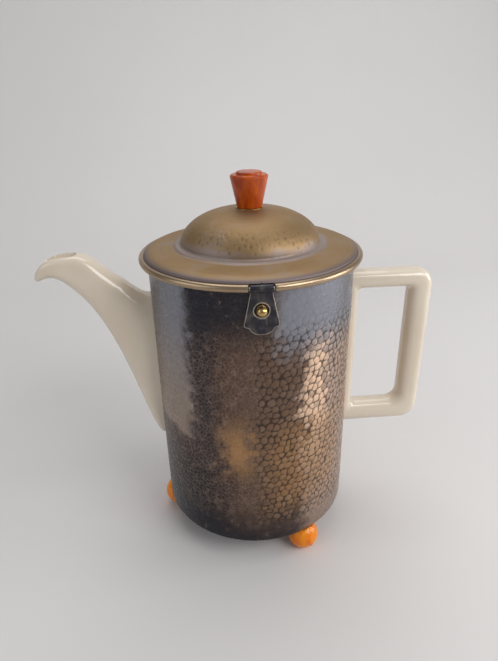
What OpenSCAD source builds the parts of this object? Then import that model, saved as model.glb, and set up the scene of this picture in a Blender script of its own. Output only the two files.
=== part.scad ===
// Insulated coffee pot: a glazed ceramic pot with a long spout and a square loop handle stands in a
// felt-lined, hammered metal jacket on three ball feet. A domed metal lid hinges at the back and is held
// at the front by a hasp that hangs on the lid's rim and drops over a ball stud.
// Origin: the pot's vertical axis at the level of the feet's soles. Handle +X, spout -X, hasp -Y, hinge +Y.

/* [Jacket] */
// Outer radius of the metal jacket
jacket_r = 57.5; // [52:0.5:70]
// Height of the jacket from its underside to its rim
jacket_h = 161; // [130:1:200]
// Thickness of the jacket's sheet
jacket_t = 0.9; // [0.6:0.1:1.5]
// Outer radius of the jacket's bottom corner
jacket_corner = 2.2; // [1.6:0.1:4]

/* [Feet] */
// Radius of a ball foot
foot_r = 9.2; // [6:0.1:12]
// Radius of the flat sole on a ball foot
foot_sole_r = 2.2; // [1:0.1:4]
// Height of the jacket's underside above the centre of the balls
foot_seat = 6.9; // [4:0.1:8]
// How far the ball centres lie inside the jacket's outer radius
foot_inset = 4.9; // [4:0.1:12]
// Azimuth of the first ball foot
foot_turn = 59; // [0:1:119]
// Radius of a foot screw's shank
foot_screw_r = 1.25; // [1:0.05:2]
// Length of a foot screw below its head
foot_screw_l = 11; // [7:0.5:14]

/* [Lining] */
// Thickness of the felt sleeve between jacket and pot
lining_t = 1.7; // [1:0.1:4]
// Thickness of the felt pad under the pot
pad_t = 3; // [2:0.1:6]
// Gap between the felt and its metal or ceramic neighbours
felt_gap = 0.15; // [0.05:0.05:0.4]

/* [Pot] */
// Wall thickness of the ceramic pot
pot_t = 4; // [3:0.1:6]
// Thickness of the pot's base
pot_base_t = 4.5; // [3:0.1:8]
// Height of the pot's rim above the jacket's rim
pot_rise = 0.6; // [0.2:0.1:1]
// Radius of a strainer hole behind the spout
strainer_r = 2.2; // [1:0.1:3]
// Spacing of the strainer holes
strainer_pitch = 7; // [5.5:0.1:10]

/* [Spout] */
// How far the spout's lip reaches beyond the jacket
spout_reach = 61.7; // [45:0.1:80]
// Height of the spout root's lower end above the jacket's underside
spout_low = 43.5; // [25:0.5:60]
// How far the spout root's upper end lies below the jacket's rim
spout_drop = 21; // [14:0.5:40]
// Width of the spout at its root
spout_root_w = 24; // [18:0.5:30]
// Width of the spout just behind its mouth
spout_neck_w = 15; // [12:0.5:18]
// Width of the spout's lip
spout_lip_w = 9; // [7:0.5:12]
// Wall thickness of the spout
spout_t = 3; // [2:0.1:3.5]

/* [Handle] */
// How far the handle reaches beyond the jacket
handle_reach = 49.4; // [40:0.1:70]
// Height of the handle's underside above the jacket's underside
handle_low = 45.4; // [25:0.1:60]
// How far the handle's top lies below the jacket's rim
handle_drop = 13; // [6:0.5:30]
// Width of the handle's grip and lower bar, seen from the side
bar_w = 13.6; // [10:0.1:18]
// Width of the handle's upper bar, seen from the side
top_bar_w = 10.6; // [8:0.1:18]
// Depth of the handle's bars, across the pot
bar_d = 14; // [10:0.1:18]
// How far the rib in the jacket's slot stands out of the jacket
rib_proud = 5.3; // [3:0.1:10]
// Outer corner radius of the handle
handle_corner = 9.5; // [6:0.5:14]
// Corner radius of the finger gap at the lower grip corner
grip_corner = 7; // [3:0.5:10]
// Corner radius of the finger gap elsewhere
gap_corner = 2.8; // [1.5:0.1:6]
// Clearance between the jacket's slots and the ceramic in them
slot_gap = 0.5; // [0.3:0.1:1]

/* [Lid] */
// Thickness of the lid's sheet
lid_t = 0.8; // [0.5:0.1:1.2]
// Clearance between the jacket's rim and the lid's band
lid_gap = 0.7; // [0.6:0.1:1.5]
// Radius of the rolled bead on the lid's edge
bead_r = 1.9; // [1.6:0.1:3]
// Height of the bead's centre above the jacket's rim
bead_rise = 1; // [0.5:0.1:2]
// Height of the lid's shoulder above the bead's centre
shoulder_h = 4.2; // [3.2:0.1:8]
// Outer radius of the lid's shoulder bend
shoulder_r = 1.6; // [1:0.1:3]
// Rise of the flat ring from the shoulder to the step round the dome
ring_rise = 1.3; // [0:0.1:4]
// Radius of the step round the dome
step_r = 42.2; // [35:0.1:48]
// Height of the step round the dome
step_h = 0.8; // [0.4:0.1:2]
// Radius of the dome at its foot
dome_r = 38.5; // [30:0.1:39.5]
// Height of the dome above the step
dome_h = 18.4; // [12:0.1:30]
// Radius of the inner plate that closes the pot's mouth
plate_r = 46; // [38:0.5:48]
// Thickness of the inner plate
plate_t = 0.8; // [0.5:0.1:1.5]
// Thickness of the felt pad in the lid
lid_felt_t = 2; // [1:0.1:2.5]

/* [Knob] */
// Radius of the knob at its foot
knob_foot_r = 6.8; // [5:0.1:9]
// Radius of the knob at its rim
knob_rim_r = 10.3; // [8:0.1:14]
// Height of the knob up to its rim
knob_h = 17.2; // [12:0.1:24]
// Radius of the raised disc on the knob
knob_disc_r = 7; // [4:0.1:7.2]
// Height of the raised disc on the knob
knob_disc_h = 1.4; // [1:0.1:4]
// Radius of the knob screw's shank
knob_screw_r = 2; // [1.5:0.1:2.5]

/* [Hinge and hasp] */
// Radius of the hinge pin and of the hasp's pin
pin_r = 0.9; // [0.7:0.05:1]
// Radial clearance of a pin in a knuckle that turns on it
run_gap = 0.05; // [0.02:0.01:0.1]
// Width of the hinge's middle knuckle
knuckle_w = 9; // [6:0.5:12]
// Width of each of the hinge's outer knuckles
side_knuckle_w = 6.5; // [4:0.5:9]
// Clearance between neighbouring knuckles
side_gap = 0.3; // [0.2:0.05:0.6]
// Length of the hinge's strap on the jacket
strap_l = 26; // [16:0.5:40]
// Thickness of the straps and of the hasp
strap_t = 0.8; // [0.5:0.1:1.2]
// Width of the hasp at its knuckle
hasp_top_w = 10.8; // [8:0.1:14]
// Width of the hasp at its shoulders
hasp_w = 17.4; // [14:0.1:22]
// Width of the hasp's tongue
tongue_w = 12.4; // [9:0.1:13]
// Distance of the hasp's shoulders below its pin
hasp_l = 20; // [17:0.5:28]
// Length of the hasp's tongue below its shoulders
tongue_l = 4.2; // [2.5:0.1:6]
// Radius of the hole in the hasp
hasp_hole_r = 3.5; // [3.3:0.1:4.5]
// Distance of the hasp's hole below its pin
hasp_hole_drop = 11.4; // [10:0.1:12.5]
// Radius of the ball on the stud
ball_r = 2.65; // [2:0.05:2.8]

/* [Hidden] */

$fn = 96;
eps = 0.01;
far = 400;
foot_count = 3;

// Heights, all measured from the soles
foot_z = sqrt(pow(foot_r, 2) - pow(foot_sole_r, 2));
jacket_z = foot_z + foot_seat;
floor_z = jacket_z + jacket_t;
pad_top_z = floor_z + pad_t;
rim_z = jacket_z + jacket_h;
pot_rim_z = rim_z + pot_rise;
bead_z = rim_z + bead_rise;

// Radii from the jacket inwards and outwards
jacket_in_r = jacket_r - jacket_t;
lining_r = jacket_in_r - felt_gap;
lining_in_r = lining_r - lining_t;
pot_r = lining_in_r - felt_gap;
pot_in_r = pot_r - pot_t;
foot_ring_r = jacket_r - foot_inset;
band_in_r = jacket_r + lid_gap;
band_r = band_in_r + lid_t;
bead_tuck = 0.1;
pin_out = 0.2;
bead_ring_r = band_in_r + bead_r - bead_tuck;
pin_y = bead_ring_r + pin_out;
wire_r = bead_r - lid_t;
wire_start_deg = 3;

// Fasteners
foot_head_r = 2;
foot_head_h = 1.2;
foot_slot_w = 0.5;
rivet_r = 1.2;
rivet_head_r = 2.2;
rivet_head_h = 0.7;
stud_shank_r = 1.5;
stud_washer_r = 3;
stud_washer_t = 0.4;
stud_tail_r = 2.1;
stud_tail_h = 0.6;
knob_head_r = 3.6;
knob_head_h = 1.6;
knob_slot_w = 1;
knob_slot_depth = 0.8;
knob_thread_l = 9;
knob_washer_t = 0.4;
spacer_t = 1.2;

// Turns a list of points into a smooth run: each stretch is a cubic curve between every third point
function bezier(p, i, t) =
    p[i] * pow(1 - t, 3) + 3 * p[i + 1] * t * pow(1 - t, 2)
    + 3 * p[i + 2] * t * t * (1 - t) + p[i + 3] * pow(t, 3);
function smooth_run(p, steps) = [
    for (i = [0:3:len(p) - 4], k = [(i == 0 ? 0 : 1):steps]) bezier(p, i, k / steps)
];
function mix(a, b, t) = a + (b - a) * t;
function signed_pow(x, e) = sign(x) * pow(abs(x), e);
function reversed(p) = [for (i = [len(p) - 1:-1:0]) p[i]];

// One closed outline of a loft, between an outer and an inner point of the side view. The outline is a
// rounded box when skew is 0, and a drop with its narrow end at the inner point when skew is larger.
function outline(outer, inner, width, square, skew, sides) =
    let (middle = (outer + inner) / 2, half = (outer - inner) / 2)
    [
        for (i = [0:sides - 1])
        let (
            a = 360 * i / sides,
            along = signed_pow(cos(a), square),
            across = signed_pow(sin(a), square) * (1 + skew * cos(a)) / (1 + skew * skew),
            p = middle + half * along
        )
        [p.x, across * width / 2, p.y]
    ];

// Solid skin over a list of outlines that all have the same number of points
module loft(rings, closed = false) {
    n = len(rings[0]);
    m = len(rings);
    last = closed ? m - 1 : m - 2;
    points = [for (ring = rings, p = ring) p];
    sides = [
        for (j = [0:last], i = [0:n - 1])
        let (
            a = j * n + i,
            b = j * n + (i + 1) % n,
            c = ((j + 1) % m) * n + (i + 1) % n,
            d = ((j + 1) % m) * n + i
        )
        each [[a, b, c], [a, c, d]]
    ];
    ends = closed ? [] : [[for (i = [n - 1:-1:0]) i], [for (i = [0:n - 1]) (m - 1) * n + i]];
    polyhedron(points = points, faces = concat(sides, ends), convexity = 8);
}

// Upper and lower edge of the spout in side view. Each point is a share of the reach beyond the jacket
// and a share of the root's height above the root's lower end.
spout_root_h = jacket_h - spout_drop - spout_low;
spout_upper_shares = [
    [0.02, 1], [0.12, 1], [0.17, 1.06], [0.29, 1.11],
    [0.41, 1.165], [0.50, 1.255], [0.64, 1.255],
    [0.79, 1.255], [0.965, 1.235], [1, 1.135]
];
spout_lower_shares = [
    [0.02, 0], [0.09, 0.025], [0.146, 0.19], [0.25, 0.44],
    [0.36, 0.69], [0.46, 0.886], [0.664, 1.033],
    [0.81, 1.14], [0.85, 1.135], [0.97, 1.11]
];
spout_steps = 7;
spout_sides = 24;
function spout_point(share) =
    [jacket_r + share.x * spout_reach, jacket_z + spout_low + share.y * spout_root_h];
spout_upper = smooth_run([for (s = spout_upper_shares) spout_point(s)], spout_steps);
spout_lower = smooth_run([for (s = spout_lower_shares) spout_point(s)], spout_steps);
spout_last = len(spout_upper) - 1;
spout_widths = smooth_run([
    for (w = [1, 1, 0.85, 0.62, 0.4, 0.15, 0, 0, 0, 0]) [mix(spout_neck_w, spout_root_w, w)]
], spout_steps);
spout_skew_root = 0.5;
spout_skew_lip = 0.1;
lip_share = 0.72;
spout_square = 0.85;
skew_run = 1.4;

// Width of the spout at a station: it follows the widths above and closes in over the lip
function spout_width(k) =
    let (t = k / spout_last, lip = max(0, (t - lip_share) / (1 - lip_share)))
    mix(spout_widths[k][0], spout_lip_w, lip * lip);
function spout_skew(k) = mix(spout_skew_root, spout_skew_lip, min(1, k / spout_last * skew_run));
function spout_ring(k, wall) =
    let (edge = spout_upper[k] - spout_lower[k], along = edge / norm(edge))
    outline(spout_upper[k] - along * wall, spout_lower[k] + along * wall, spout_width(k) - 2 * wall,
        spout_square, spout_skew(k), spout_sides);
function moved_x(ring, x) = [for (p = ring) [x, p.y, p.z]];

// Side view of the root as a flat outline [across, up], grown by a gap
function root_outline(gap) = [
    for (p = spout_ring(0, -gap)) [p.y, p.z]
];
root_widest_share = 0.72;

// The hollow of the jacket's spout slot: the root's outline, open to the rim above its widest place
module spout_slot(gap) {
    rotate([90, 0, -90])
        linear_extrude(far)
            union() {
                polygon(root_outline(gap));
                translate([-spout_width(0) / 2 - gap, jacket_z + spout_low + spout_root_h * root_widest_share])
                    square([spout_width(0) + 2 * gap, far]);
            }
}

module handle_slot(gap) {
    translate([0, -bar_d / 2 - gap, jacket_z + handle_low - gap])
        cube([far, bar_d + 2 * gap, far]);
}

// Outer envelope of the jacket, a can with a rounded bottom corner
module jacket_can(r, h, corner) {
    rotate_extrude()
        union() {
            square([r - corner, h]);
            translate([0, corner])
                square([r, h - corner]);
            intersection() {
                translate([r - corner, corner])
                    circle(corner);
                translate([r - corner, 0])
                    square(corner);
            }
        }
}

module jacket() {
    color([0.42, 0.38, 0.38])
        difference() {
            translate([0, 0, jacket_z])
                jacket_can(jacket_r, jacket_h, jacket_corner);
            translate([0, 0, floor_z])
                jacket_can(jacket_in_r, far, jacket_corner - jacket_t);
            spout_slot(slot_gap);
            handle_slot(slot_gap);
            foot_places()
                cylinder(r = foot_screw_r, h = floor_z + eps);
            stud_place()
                cylinder(r = stud_shank_r, h = far);
            rivet_places()
                cylinder(r = rivet_r, h = far);
        }
}

// The stud's axis: Z of the child points outwards, from the pot's axis
module stud_place() {
    translate([0, 0, bead_z - hasp_hole_drop])
        rotate([90, 0, 0])
            children();
}

// Axes of the two rivets through the hinge's strap, one above the other, as shares of the strap's length
rivet_shares = [0.35, 0.8];
module rivet_places() {
    for (drop = rivet_shares)
        translate([0, 0, bead_z - drop * strap_l])
            rotate([-90, 0, 0])
                children();
}

module foot_places() {
    for (i = [0:foot_count - 1])
        foot_place(i)
            children();
}

module foot_place(i) {
    rotate([0, 0, foot_turn + i * 360 / foot_count])
        translate([foot_ring_r, 0, 0])
            children();
}

module lining_felt() {
    color([0.30, 0.42, 0.36])
        difference() {
            translate([0, 0, pad_top_z + felt_gap])
                cylinder(r = lining_r, h = rim_z - felt_gap - pad_top_z - felt_gap);
            cylinder(r = lining_in_r, h = far);
            spout_slot(slot_gap);
            handle_slot(slot_gap);
            stud_place()
                cylinder(r = stud_washer_r + slot_gap, h = far);
            rivet_places()
                cylinder(r = rivet_head_r + slot_gap, h = far);
        }
}

module floor_felt() {
    color([0.30, 0.42, 0.36])
        difference() {
            translate([0, 0, floor_z + felt_gap])
                cylinder(r = jacket_in_r - jacket_corner, h = pad_t - 2 * felt_gap);
            foot_places()
                cylinder(r = foot_head_r + felt_gap, h = far);
        }
}

// A strainer hole is drilled wherever the grid falls inside the spout's channel
strainer_rows = floor(spout_root_h / strainer_pitch);
strainer_edge = 1.2;
strainer_side = 2;
function channel_half_w(z) =
    let (up = (z - jacket_z - spout_low - spout_t) / (spout_root_h - 2 * spout_t))
    up <= 0 || up >= 1 ? 0
        : let (c = 2 * up - 1, s = sqrt(1 - c * c))
        (spout_width(0) / 2 - spout_t) * s * (1 + spout_skew_root * c) / (1 + pow(spout_skew_root, 2));

module strainer_holes() {
    for (row = [0:strainer_rows], column = [-strainer_side:strainer_side])
        let (
            y = (column + (row % 2) / 2) * strainer_pitch,
            z = jacket_z + spout_low + row * strainer_pitch
        )
        if (abs(y) + strainer_r + strainer_edge < channel_half_w(z))
            translate([-pot_in_r - pot_t / 2, y, z])
                rotate([0, 90, 0])
                    cylinder(r = strainer_r, h = 3 * pot_t, center = true);
}

// The pot's wall and its base meet where the inner corner ends
pot_corner = 5;
pot_in_corner = 2;
pot_foot_in = 7;
pot_foot_h = 1.5;
pot_floor_z = pad_top_z + pot_base_t;
pot_wall_z = pot_floor_z + pot_in_corner;

module pot_body() {
    color([0.90, 0.86, 0.76])
        difference() {
            translate([0, 0, pot_wall_z])
                cylinder(r = pot_r, h = pot_rim_z - pot_wall_z);
            cylinder(r = pot_in_r, h = far);
            strainer_holes();
        }
}

module pot_base() {
    color([0.90, 0.86, 0.76])
        difference() {
            translate([0, 0, pad_top_z])
                jacket_can(pot_r, pot_wall_z - pad_top_z, pot_corner);
            translate([0, 0, pot_floor_z])
                jacket_can(pot_in_r, far, pot_in_corner);
            cylinder(r = pot_r - pot_foot_in, h = pad_top_z + pot_foot_h);
        }
}

// The channel runs from the pot's wall to the mouth; the mouth is a drop cut down through the top
mouth_back = 0.70;
mouth_tip = 0.875;
mouth_r = 3.4;
mouth_tip_r = 0.8;
mouth_depth = 0.14;
spout_top_share = 1.255;
channel_share = 0.9;
channel_last = round(spout_last * channel_share);

module spout() {
    color([0.90, 0.86, 0.76])
        mirror([1, 0, 0])
            difference() {
                loft(concat([moved_x(spout_ring(0, 0), pot_in_r)],
                    [for (k = [0:spout_last]) spout_ring(k, 0)]));
                loft(concat([moved_x(spout_ring(0, spout_t), pot_in_r - eps)],
                    [for (k = [0:channel_last]) spout_ring(k, spout_t)]));
                spout_mouth();
                cylinder(r = pot_r, h = far);
            }
}

module spout_mouth() {
    translate([0, 0, spout_point([0, spout_top_share - mouth_depth]).y])
        linear_extrude(far)
            hull() {
                translate([spout_point([mouth_back, 0]).x, 0])
                    circle(mouth_r, $fn = 32);
                translate([spout_point([mouth_tip, 0]).x, 0])
                    circle(mouth_tip_r, $fn = 32);
            }
}

// Corner by corner run of points round a box in side view: [x, z, corner radius, first angle]
corner_steps = 6;
function round_corner(c, dx, dz) = [
    for (k = [0:corner_steps])
    let (
        start = dx > 0 ? (dz > 0 ? 90 : 0) : (dz > 0 ? 180 : 270),
        a = start - 90 * k / corner_steps
    )
    [c.x - dx * c.z + c.z * cos(a), c.y - dz * c.z + c.z * sin(a)]
];
function round_box(right, left, top, low, radii) = concat(
    round_corner([right, top, radii[0]], 1, 1),
    round_corner([right, low, radii[1]], 1, -1),
    round_corner([left, low, radii[2]], -1, -1),
    round_corner([left, top, radii[3]], -1, 1)
);
handle_sides = 24;
handle_square = 0.55;
handle_root_corner = 1;
handle_top_z = rim_z - handle_drop;
handle_low_z = jacket_z + handle_low;
handle_root_x = pot_in_r;
handle_out = round_box(jacket_r + handle_reach, handle_root_x, handle_top_z, handle_low_z,
    [handle_corner, handle_corner, handle_root_corner, handle_root_corner]);
handle_in = round_box(jacket_r + handle_reach - bar_w, jacket_r + rib_proud, handle_top_z - top_bar_w,
    handle_low_z + bar_w, [gap_corner, grip_corner, gap_corner, gap_corner]);

module handle() {
    color([0.90, 0.86, 0.76])
        difference() {
            loft([for (k = [0:len(handle_out) - 1])
                outline(handle_out[k], handle_in[k], bar_d, handle_square, 0, handle_sides)], closed = true);
            cylinder(r = pot_r, h = far);
        }
}

module foot(i) {
    color([0.93, 0.45, 0.08])
        difference() {
            foot_place(i)
                intersection() {
                    translate([0, 0, foot_z])
                        sphere(foot_r);
                    cylinder(r = foot_r, h = far);
                }
            translate([0, 0, jacket_z])
                jacket_can(jacket_r, jacket_h, jacket_corner);
            foot_place(i)
                translate([0, 0, floor_z - foot_screw_l])
                    cylinder(r = foot_screw_r, h = far);
        }
}

module foot_1() { foot(0); }
module foot_2() { foot(1); }
module foot_3() { foot(2); }

module foot_screws() {
    color([0.72, 0.70, 0.66])
        foot_places() {
            translate([0, 0, floor_z - foot_screw_l])
                cylinder(r = foot_screw_r, h = foot_screw_l + foot_head_h / 2);
            difference() {
                translate([0, 0, floor_z])
                    cylinder(r = foot_head_r, h = foot_head_h);
                translate([-far / 2, -foot_slot_w / 2, floor_z + foot_head_h / 2])
                    cube([far, foot_slot_w, far]);
            }
        }
}

stud_neck_r = 1.6;
ball_out = 0.1;
ball_y = pin_y + ball_out;

module ball_stud() {
    color([0.80, 0.62, 0.28])
        stud_place() {
            translate([0, 0, ball_y])
                sphere(ball_r);
            translate([0, 0, jacket_r])
                cylinder(r = stud_neck_r, h = ball_y - jacket_r);
            translate([0, 0, jacket_in_r - stud_washer_t])
                cylinder(r = stud_shank_r, h = ball_y - jacket_in_r);
            translate([0, 0, jacket_in_r - stud_washer_t - stud_tail_h])
                cylinder(r = stud_tail_r, h = stud_tail_h);
        }
}

module stud_washer() {
    color([0.72, 0.70, 0.66])
        intersection() {
            stud_place()
                translate([0, 0, jacket_in_r - stud_washer_t])
                    difference() {
                        cylinder(r = stud_washer_r, h = stud_washer_t);
                        cylinder(r = stud_shank_r, h = far);
                    }
            cylinder(r = jacket_in_r, h = far);
        }
}

// The hinge's strap lies on the back of the jacket and carries the middle knuckle
strap_w = 13;
knuckle_r = bead_r;
neck_in = 0.15;

module knuckle(w, bore) {
    rotate([0, 90, 0])
        difference() {
            cylinder(r = knuckle_r, h = w, center = true);
            cylinder(r = bore, h = 2 * w, center = true);
        }
}

module hinge_strap() {
    color([0.42, 0.38, 0.38])
        difference() {
            union() {
                intersection() {
                    translate([0, 0, bead_z - strap_l])
                        cylinder(r = jacket_r + strap_t, h = strap_l - bead_rise);
                    strap_outline();
                }
                translate([-knuckle_w / 2, jacket_r + neck_in, bead_z - knuckle_r])
                    cube([knuckle_w, pin_y - jacket_r - neck_in, knuckle_r]);
                translate([0, pin_y, bead_z])
                    rotate([0, 90, 0])
                        cylinder(r = knuckle_r, h = knuckle_w, center = true);
            }
            cylinder(r = jacket_r, h = far);
            translate([0, pin_y, bead_z])
                rotate([0, 90, 0])
                    cylinder(r = pin_r, h = far, center = true);
            rivet_places()
                cylinder(r = rivet_r, h = far);
        }
}

module strap_outline() {
    rotate([-90, 0, 0])
        mirror([0, 1, 0])
            linear_extrude(far)
                union() {
                    translate([0, bead_z - strap_l + strap_w / 2])
                        circle(strap_w / 2);
                    translate([-strap_w / 2, bead_z - strap_l + strap_w / 2])
                        square([strap_w, strap_l - strap_w / 2 - 2 * knuckle_r]);
                    translate([-knuckle_w / 2, bead_z - 2 * knuckle_r - eps])
                        square([knuckle_w, 2 * knuckle_r]);
                }
}

module hinge_rivets() {
    color([0.72, 0.70, 0.66])
        union() {
            intersection() {
                rivet_places()
                    translate([0, 0, jacket_in_r - rivet_head_h])
                        cylinder(r = rivet_head_r, h = rivet_head_h);
                cylinder(r = jacket_in_r, h = far);
            }
            rivet_places() {
                translate([0, 0, jacket_in_r - rivet_head_h / 2])
                    cylinder(r = rivet_r, h = rivet_head_h / 2 + jacket_t + strap_t + eps);
                translate([0, 0, jacket_r + strap_t])
                    cylinder(r1 = rivet_head_r, r2 = rivet_r, h = rivet_head_h);
            }
        }
}

pin_l = knuckle_w + 2 * side_knuckle_w + 2 * side_gap;

module hinge_pin() {
    color([0.72, 0.70, 0.66])
        translate([0, pin_y, bead_z])
            rotate([0, 90, 0])
                cylinder(r = pin_r, h = pin_l, center = true);
}

// Section of the lid's sheet from the knob's seat out to the bead, set back by a depth
dome_round = 2.2;
dome_crown = 1.5;
dome_steps = 16;
seat_r = 7.8;
shoulder_z = bead_z + shoulder_h;
step_top_z = shoulder_z + ring_rise + step_h;
fillet = 0.9;
fillet_low = 0.2;
step_bevel = 0.6;
dome_z = step_top_z + fillet;
dome_top_h = dome_h - fillet;
seat_h = dome_top_h * pow(1 - pow(seat_r / dome_r, dome_round), 1 / dome_crown);
seat_z = dome_z + seat_h;
band_low = 0.5;
function dome_at(r, depth) =
    dome_z + (dome_top_h - depth) * pow(max(0, 1 - pow(r / (dome_r - depth), dome_round)), 1 / dome_crown);
function lid_skin(depth) = concat(
    [[knob_screw_r, dome_at(seat_r, 0) - depth]],
    [for (i = [0:dome_steps])
        let (r = mix(seat_r, dome_r - depth, sin(90 * i / dome_steps)))
        [r, i == 0 ? dome_at(seat_r, 0) - depth : dome_at(r, depth)]],
    [[dome_r + fillet - 0.8 * depth, step_top_z + fillet_low - 0.8 * depth],
     [step_r - step_bevel - 0.4 * depth, step_top_z - depth],
     [step_r - 0.4 * depth, step_top_z - step_h - depth]],
    [for (a = [90:-30:0])
        [band_r - shoulder_r + (shoulder_r - depth) * cos(a), shoulder_z - shoulder_r
            + (shoulder_r - depth) * sin(a)]],
    [[band_r - depth, bead_z + band_low]]
);

hasp_space = hasp_top_w / 2 + side_gap;
hinge_space = pin_l / 2 + side_gap;
notch_top = knuckle_r + neck_in;

module lid_shell() {
    color([0.58, 0.50, 0.34])
        difference() {
            union() {
                rotate_extrude()
                    polygon(concat(lid_skin(0), reversed(lid_skin(lid_t))));
                rotate_extrude()
                    translate([bead_ring_r, bead_z])
                        circle(bead_r);
            }
            rotate_extrude()
                translate([bead_ring_r, bead_z])
                    circle(wire_r);
            translate([-hasp_space, -far, bead_z - far + notch_top])
                cube([2 * hasp_space, far, far]);
            translate([-hinge_space, 0, bead_z - far + notch_top])
                cube([2 * hinge_space, far, far]);
            translate([0, -pin_y, bead_z])
                rotate([0, 90, 0])
                    cylinder(r = pin_r, h = hasp_pin_l, center = true);
        }
}

// The wire inside the rolled bead: two arcs that stop short of the hasp's and the hinge's gaps
function gap_deg(half) = asin(half / bead_ring_r);
hasp_pin_hold = 2.5;
hasp_pin_l = 2 * (hasp_space + hasp_pin_hold);

wire_deg = 180 - gap_deg(hasp_pin_l / 2) - gap_deg(hinge_space) - 2 * wire_start_deg;

module rim_wire() {
    color([0.80, 0.62, 0.28])
        for (side = [0, 1])
            mirror([side, 0, 0])
                rotate([0, 0, -90 + gap_deg(hasp_pin_l / 2) + wire_start_deg])
                    rotate_extrude(angle = wire_deg)
                        translate([bead_ring_r, bead_z])
                            circle(wire_r);
}

// Outer knuckles of the hinge with the small strap that joins them to the lid's band
module lid_knuckles() {
    x = (knuckle_w + side_knuckle_w) / 2 + side_gap;
    w = knuckle_w / 2 + side_gap;
    color([0.58, 0.50, 0.34])
        difference() {
            union() {
                for (side = [-1, 1])
                    translate([side * x, pin_y, bead_z])
                        rotate([0, 90, 0])
                            cylinder(r = knuckle_r, h = side_knuckle_w, center = true);
                intersection() {
                    translate([0, 0, bead_z])
                        cylinder(r = band_r + strap_t, h = shoulder_h - shoulder_r);
                    translate([-pin_l / 2, 0, 0])
                        cube([pin_l, far, far]);
                }
            }
            translate([0, 0, bead_z + notch_top])
                cylinder(r = band_r, h = far);
            cylinder(r = jacket_r + lid_gap / 2, h = far);
            translate([-w, 0, bead_z - far + notch_top])
                cube([2 * w, far, far]);
            translate([0, pin_y, bead_z])
                rotate([0, 90, 0])
                    cylinder(r = pin_r + run_gap, h = far, center = true);
        }
}

// Inside the lid: a felt disc and, below it, the plate that closes the pot's mouth, both on the knob's screw
plate_low = bead_z - bead_rise;
felt_low = plate_low + plate_t;
felt_rim_gap = 0.4;
plate_rim_h = 1.2;

module lid_plate() {
    color([0.66, 0.60, 0.50])
        difference() {
            union() {
                translate([0, 0, plate_low])
                    cylinder(r = plate_r, h = plate_t);
                translate([0, 0, plate_low - plate_rim_h])
                    cylinder(r = plate_r, h = plate_rim_h + eps);
            }
            translate([0, 0, plate_low - far])
                cylinder(r = plate_r - plate_t, h = far);
            cylinder(r = knob_screw_r, h = far);
        }
}

module lid_felt() {
    color([0.30, 0.42, 0.36])
        difference() {
            translate([0, 0, felt_low])
                cylinder(r = pot_r - felt_gap, h = lid_felt_t);
            translate([0, 0, pot_rim_z + felt_rim_gap - far])
                difference() {
                    cylinder(r = far, h = far);
                    cylinder(r = plate_r, h = 3 * far, center = true);
                }
            cylinder(r = knob_screw_r + spacer_t, h = far);
        }
}

module knob_spacer() {
    color([0.72, 0.70, 0.66])
        translate([0, 0, felt_low])
            difference() {
                cylinder(r = knob_screw_r + spacer_t, h = seat_z - lid_t - felt_low);
                cylinder(r = knob_screw_r, h = far);
            }
}

knob_washer_lip = 0.5;
knob_z = seat_z + knob_washer_t;

module knob_screw() {
    color([0.72, 0.70, 0.66])
        difference() {
            union() {
                translate([0, 0, plate_low - knob_head_h])
                    cylinder(r = knob_head_r, h = knob_head_h);
                translate([0, 0, plate_low - eps])
                    cylinder(r = knob_screw_r, h = knob_z + knob_thread_l - plate_low);
            }
            translate([-far / 2, -knob_slot_w / 2, plate_low - knob_head_h - far + knob_slot_depth])
                cube([far, knob_slot_w, far]);
        }
}

module knob_washer() {
    color([0.80, 0.72, 0.52])
        translate([0, 0, seat_z])
            difference() {
                cylinder(r = knob_foot_r + knob_washer_lip, h = knob_washer_t);
                cylinder(r = knob_screw_r, h = far);
            }
}

knob_bevel = 0.9;
disc_bevel = 0.6;

module knob() {
    color([0.85, 0.33, 0.06])
        translate([0, 0, knob_z])
            difference() {
                rotate_extrude()
                    polygon([
                        [0, 0], [knob_foot_r, 0], [knob_rim_r, knob_h - knob_bevel],
                        [knob_rim_r - knob_bevel, knob_h], [knob_disc_r, knob_h],
                        [knob_disc_r, knob_h + knob_disc_h - disc_bevel],
                        [knob_disc_r - disc_bevel, knob_h + knob_disc_h], [0, knob_h + knob_disc_h]
                    ]);
                translate([0, 0, -eps])
                    cylinder(r = knob_screw_r, h = knob_thread_l + 2 * eps);
            }
}

module hasp_pin() {
    color([0.72, 0.70, 0.66])
        translate([0, -pin_y, bead_z])
            rotate([0, 90, 0])
                cylinder(r = pin_r, h = hasp_pin_l, center = true);
}

// The hasp: a knuckle, a plate that widens to its shoulders and a round tongue, with a hole for the ball
tongue_r = (pow(tongue_w / 2, 2) + pow(tongue_l, 2)) / (2 * tongue_l);
hasp_neck = 3.2;
hasp_corner = 0.8;

module hasp() {
    color([0.30, 0.29, 0.31])
        translate([0, -pin_y, bead_z])
            difference() {
                union() {
                    rotate([0, 90, 0])
                        cylinder(r = knuckle_r, h = hasp_top_w, center = true);
                    translate([0, knuckle_r, 0])
                        rotate([90, 0, 0])
                            linear_extrude(strap_t)
                                hasp_outline();
                }
                rotate([0, 90, 0])
                    cylinder(r = pin_r + run_gap, h = far, center = true);
                translate([0, 0, -hasp_hole_drop])
                    rotate([90, 0, 0])
                        cylinder(r = hasp_hole_r, h = far, center = true);
            }
}

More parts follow.
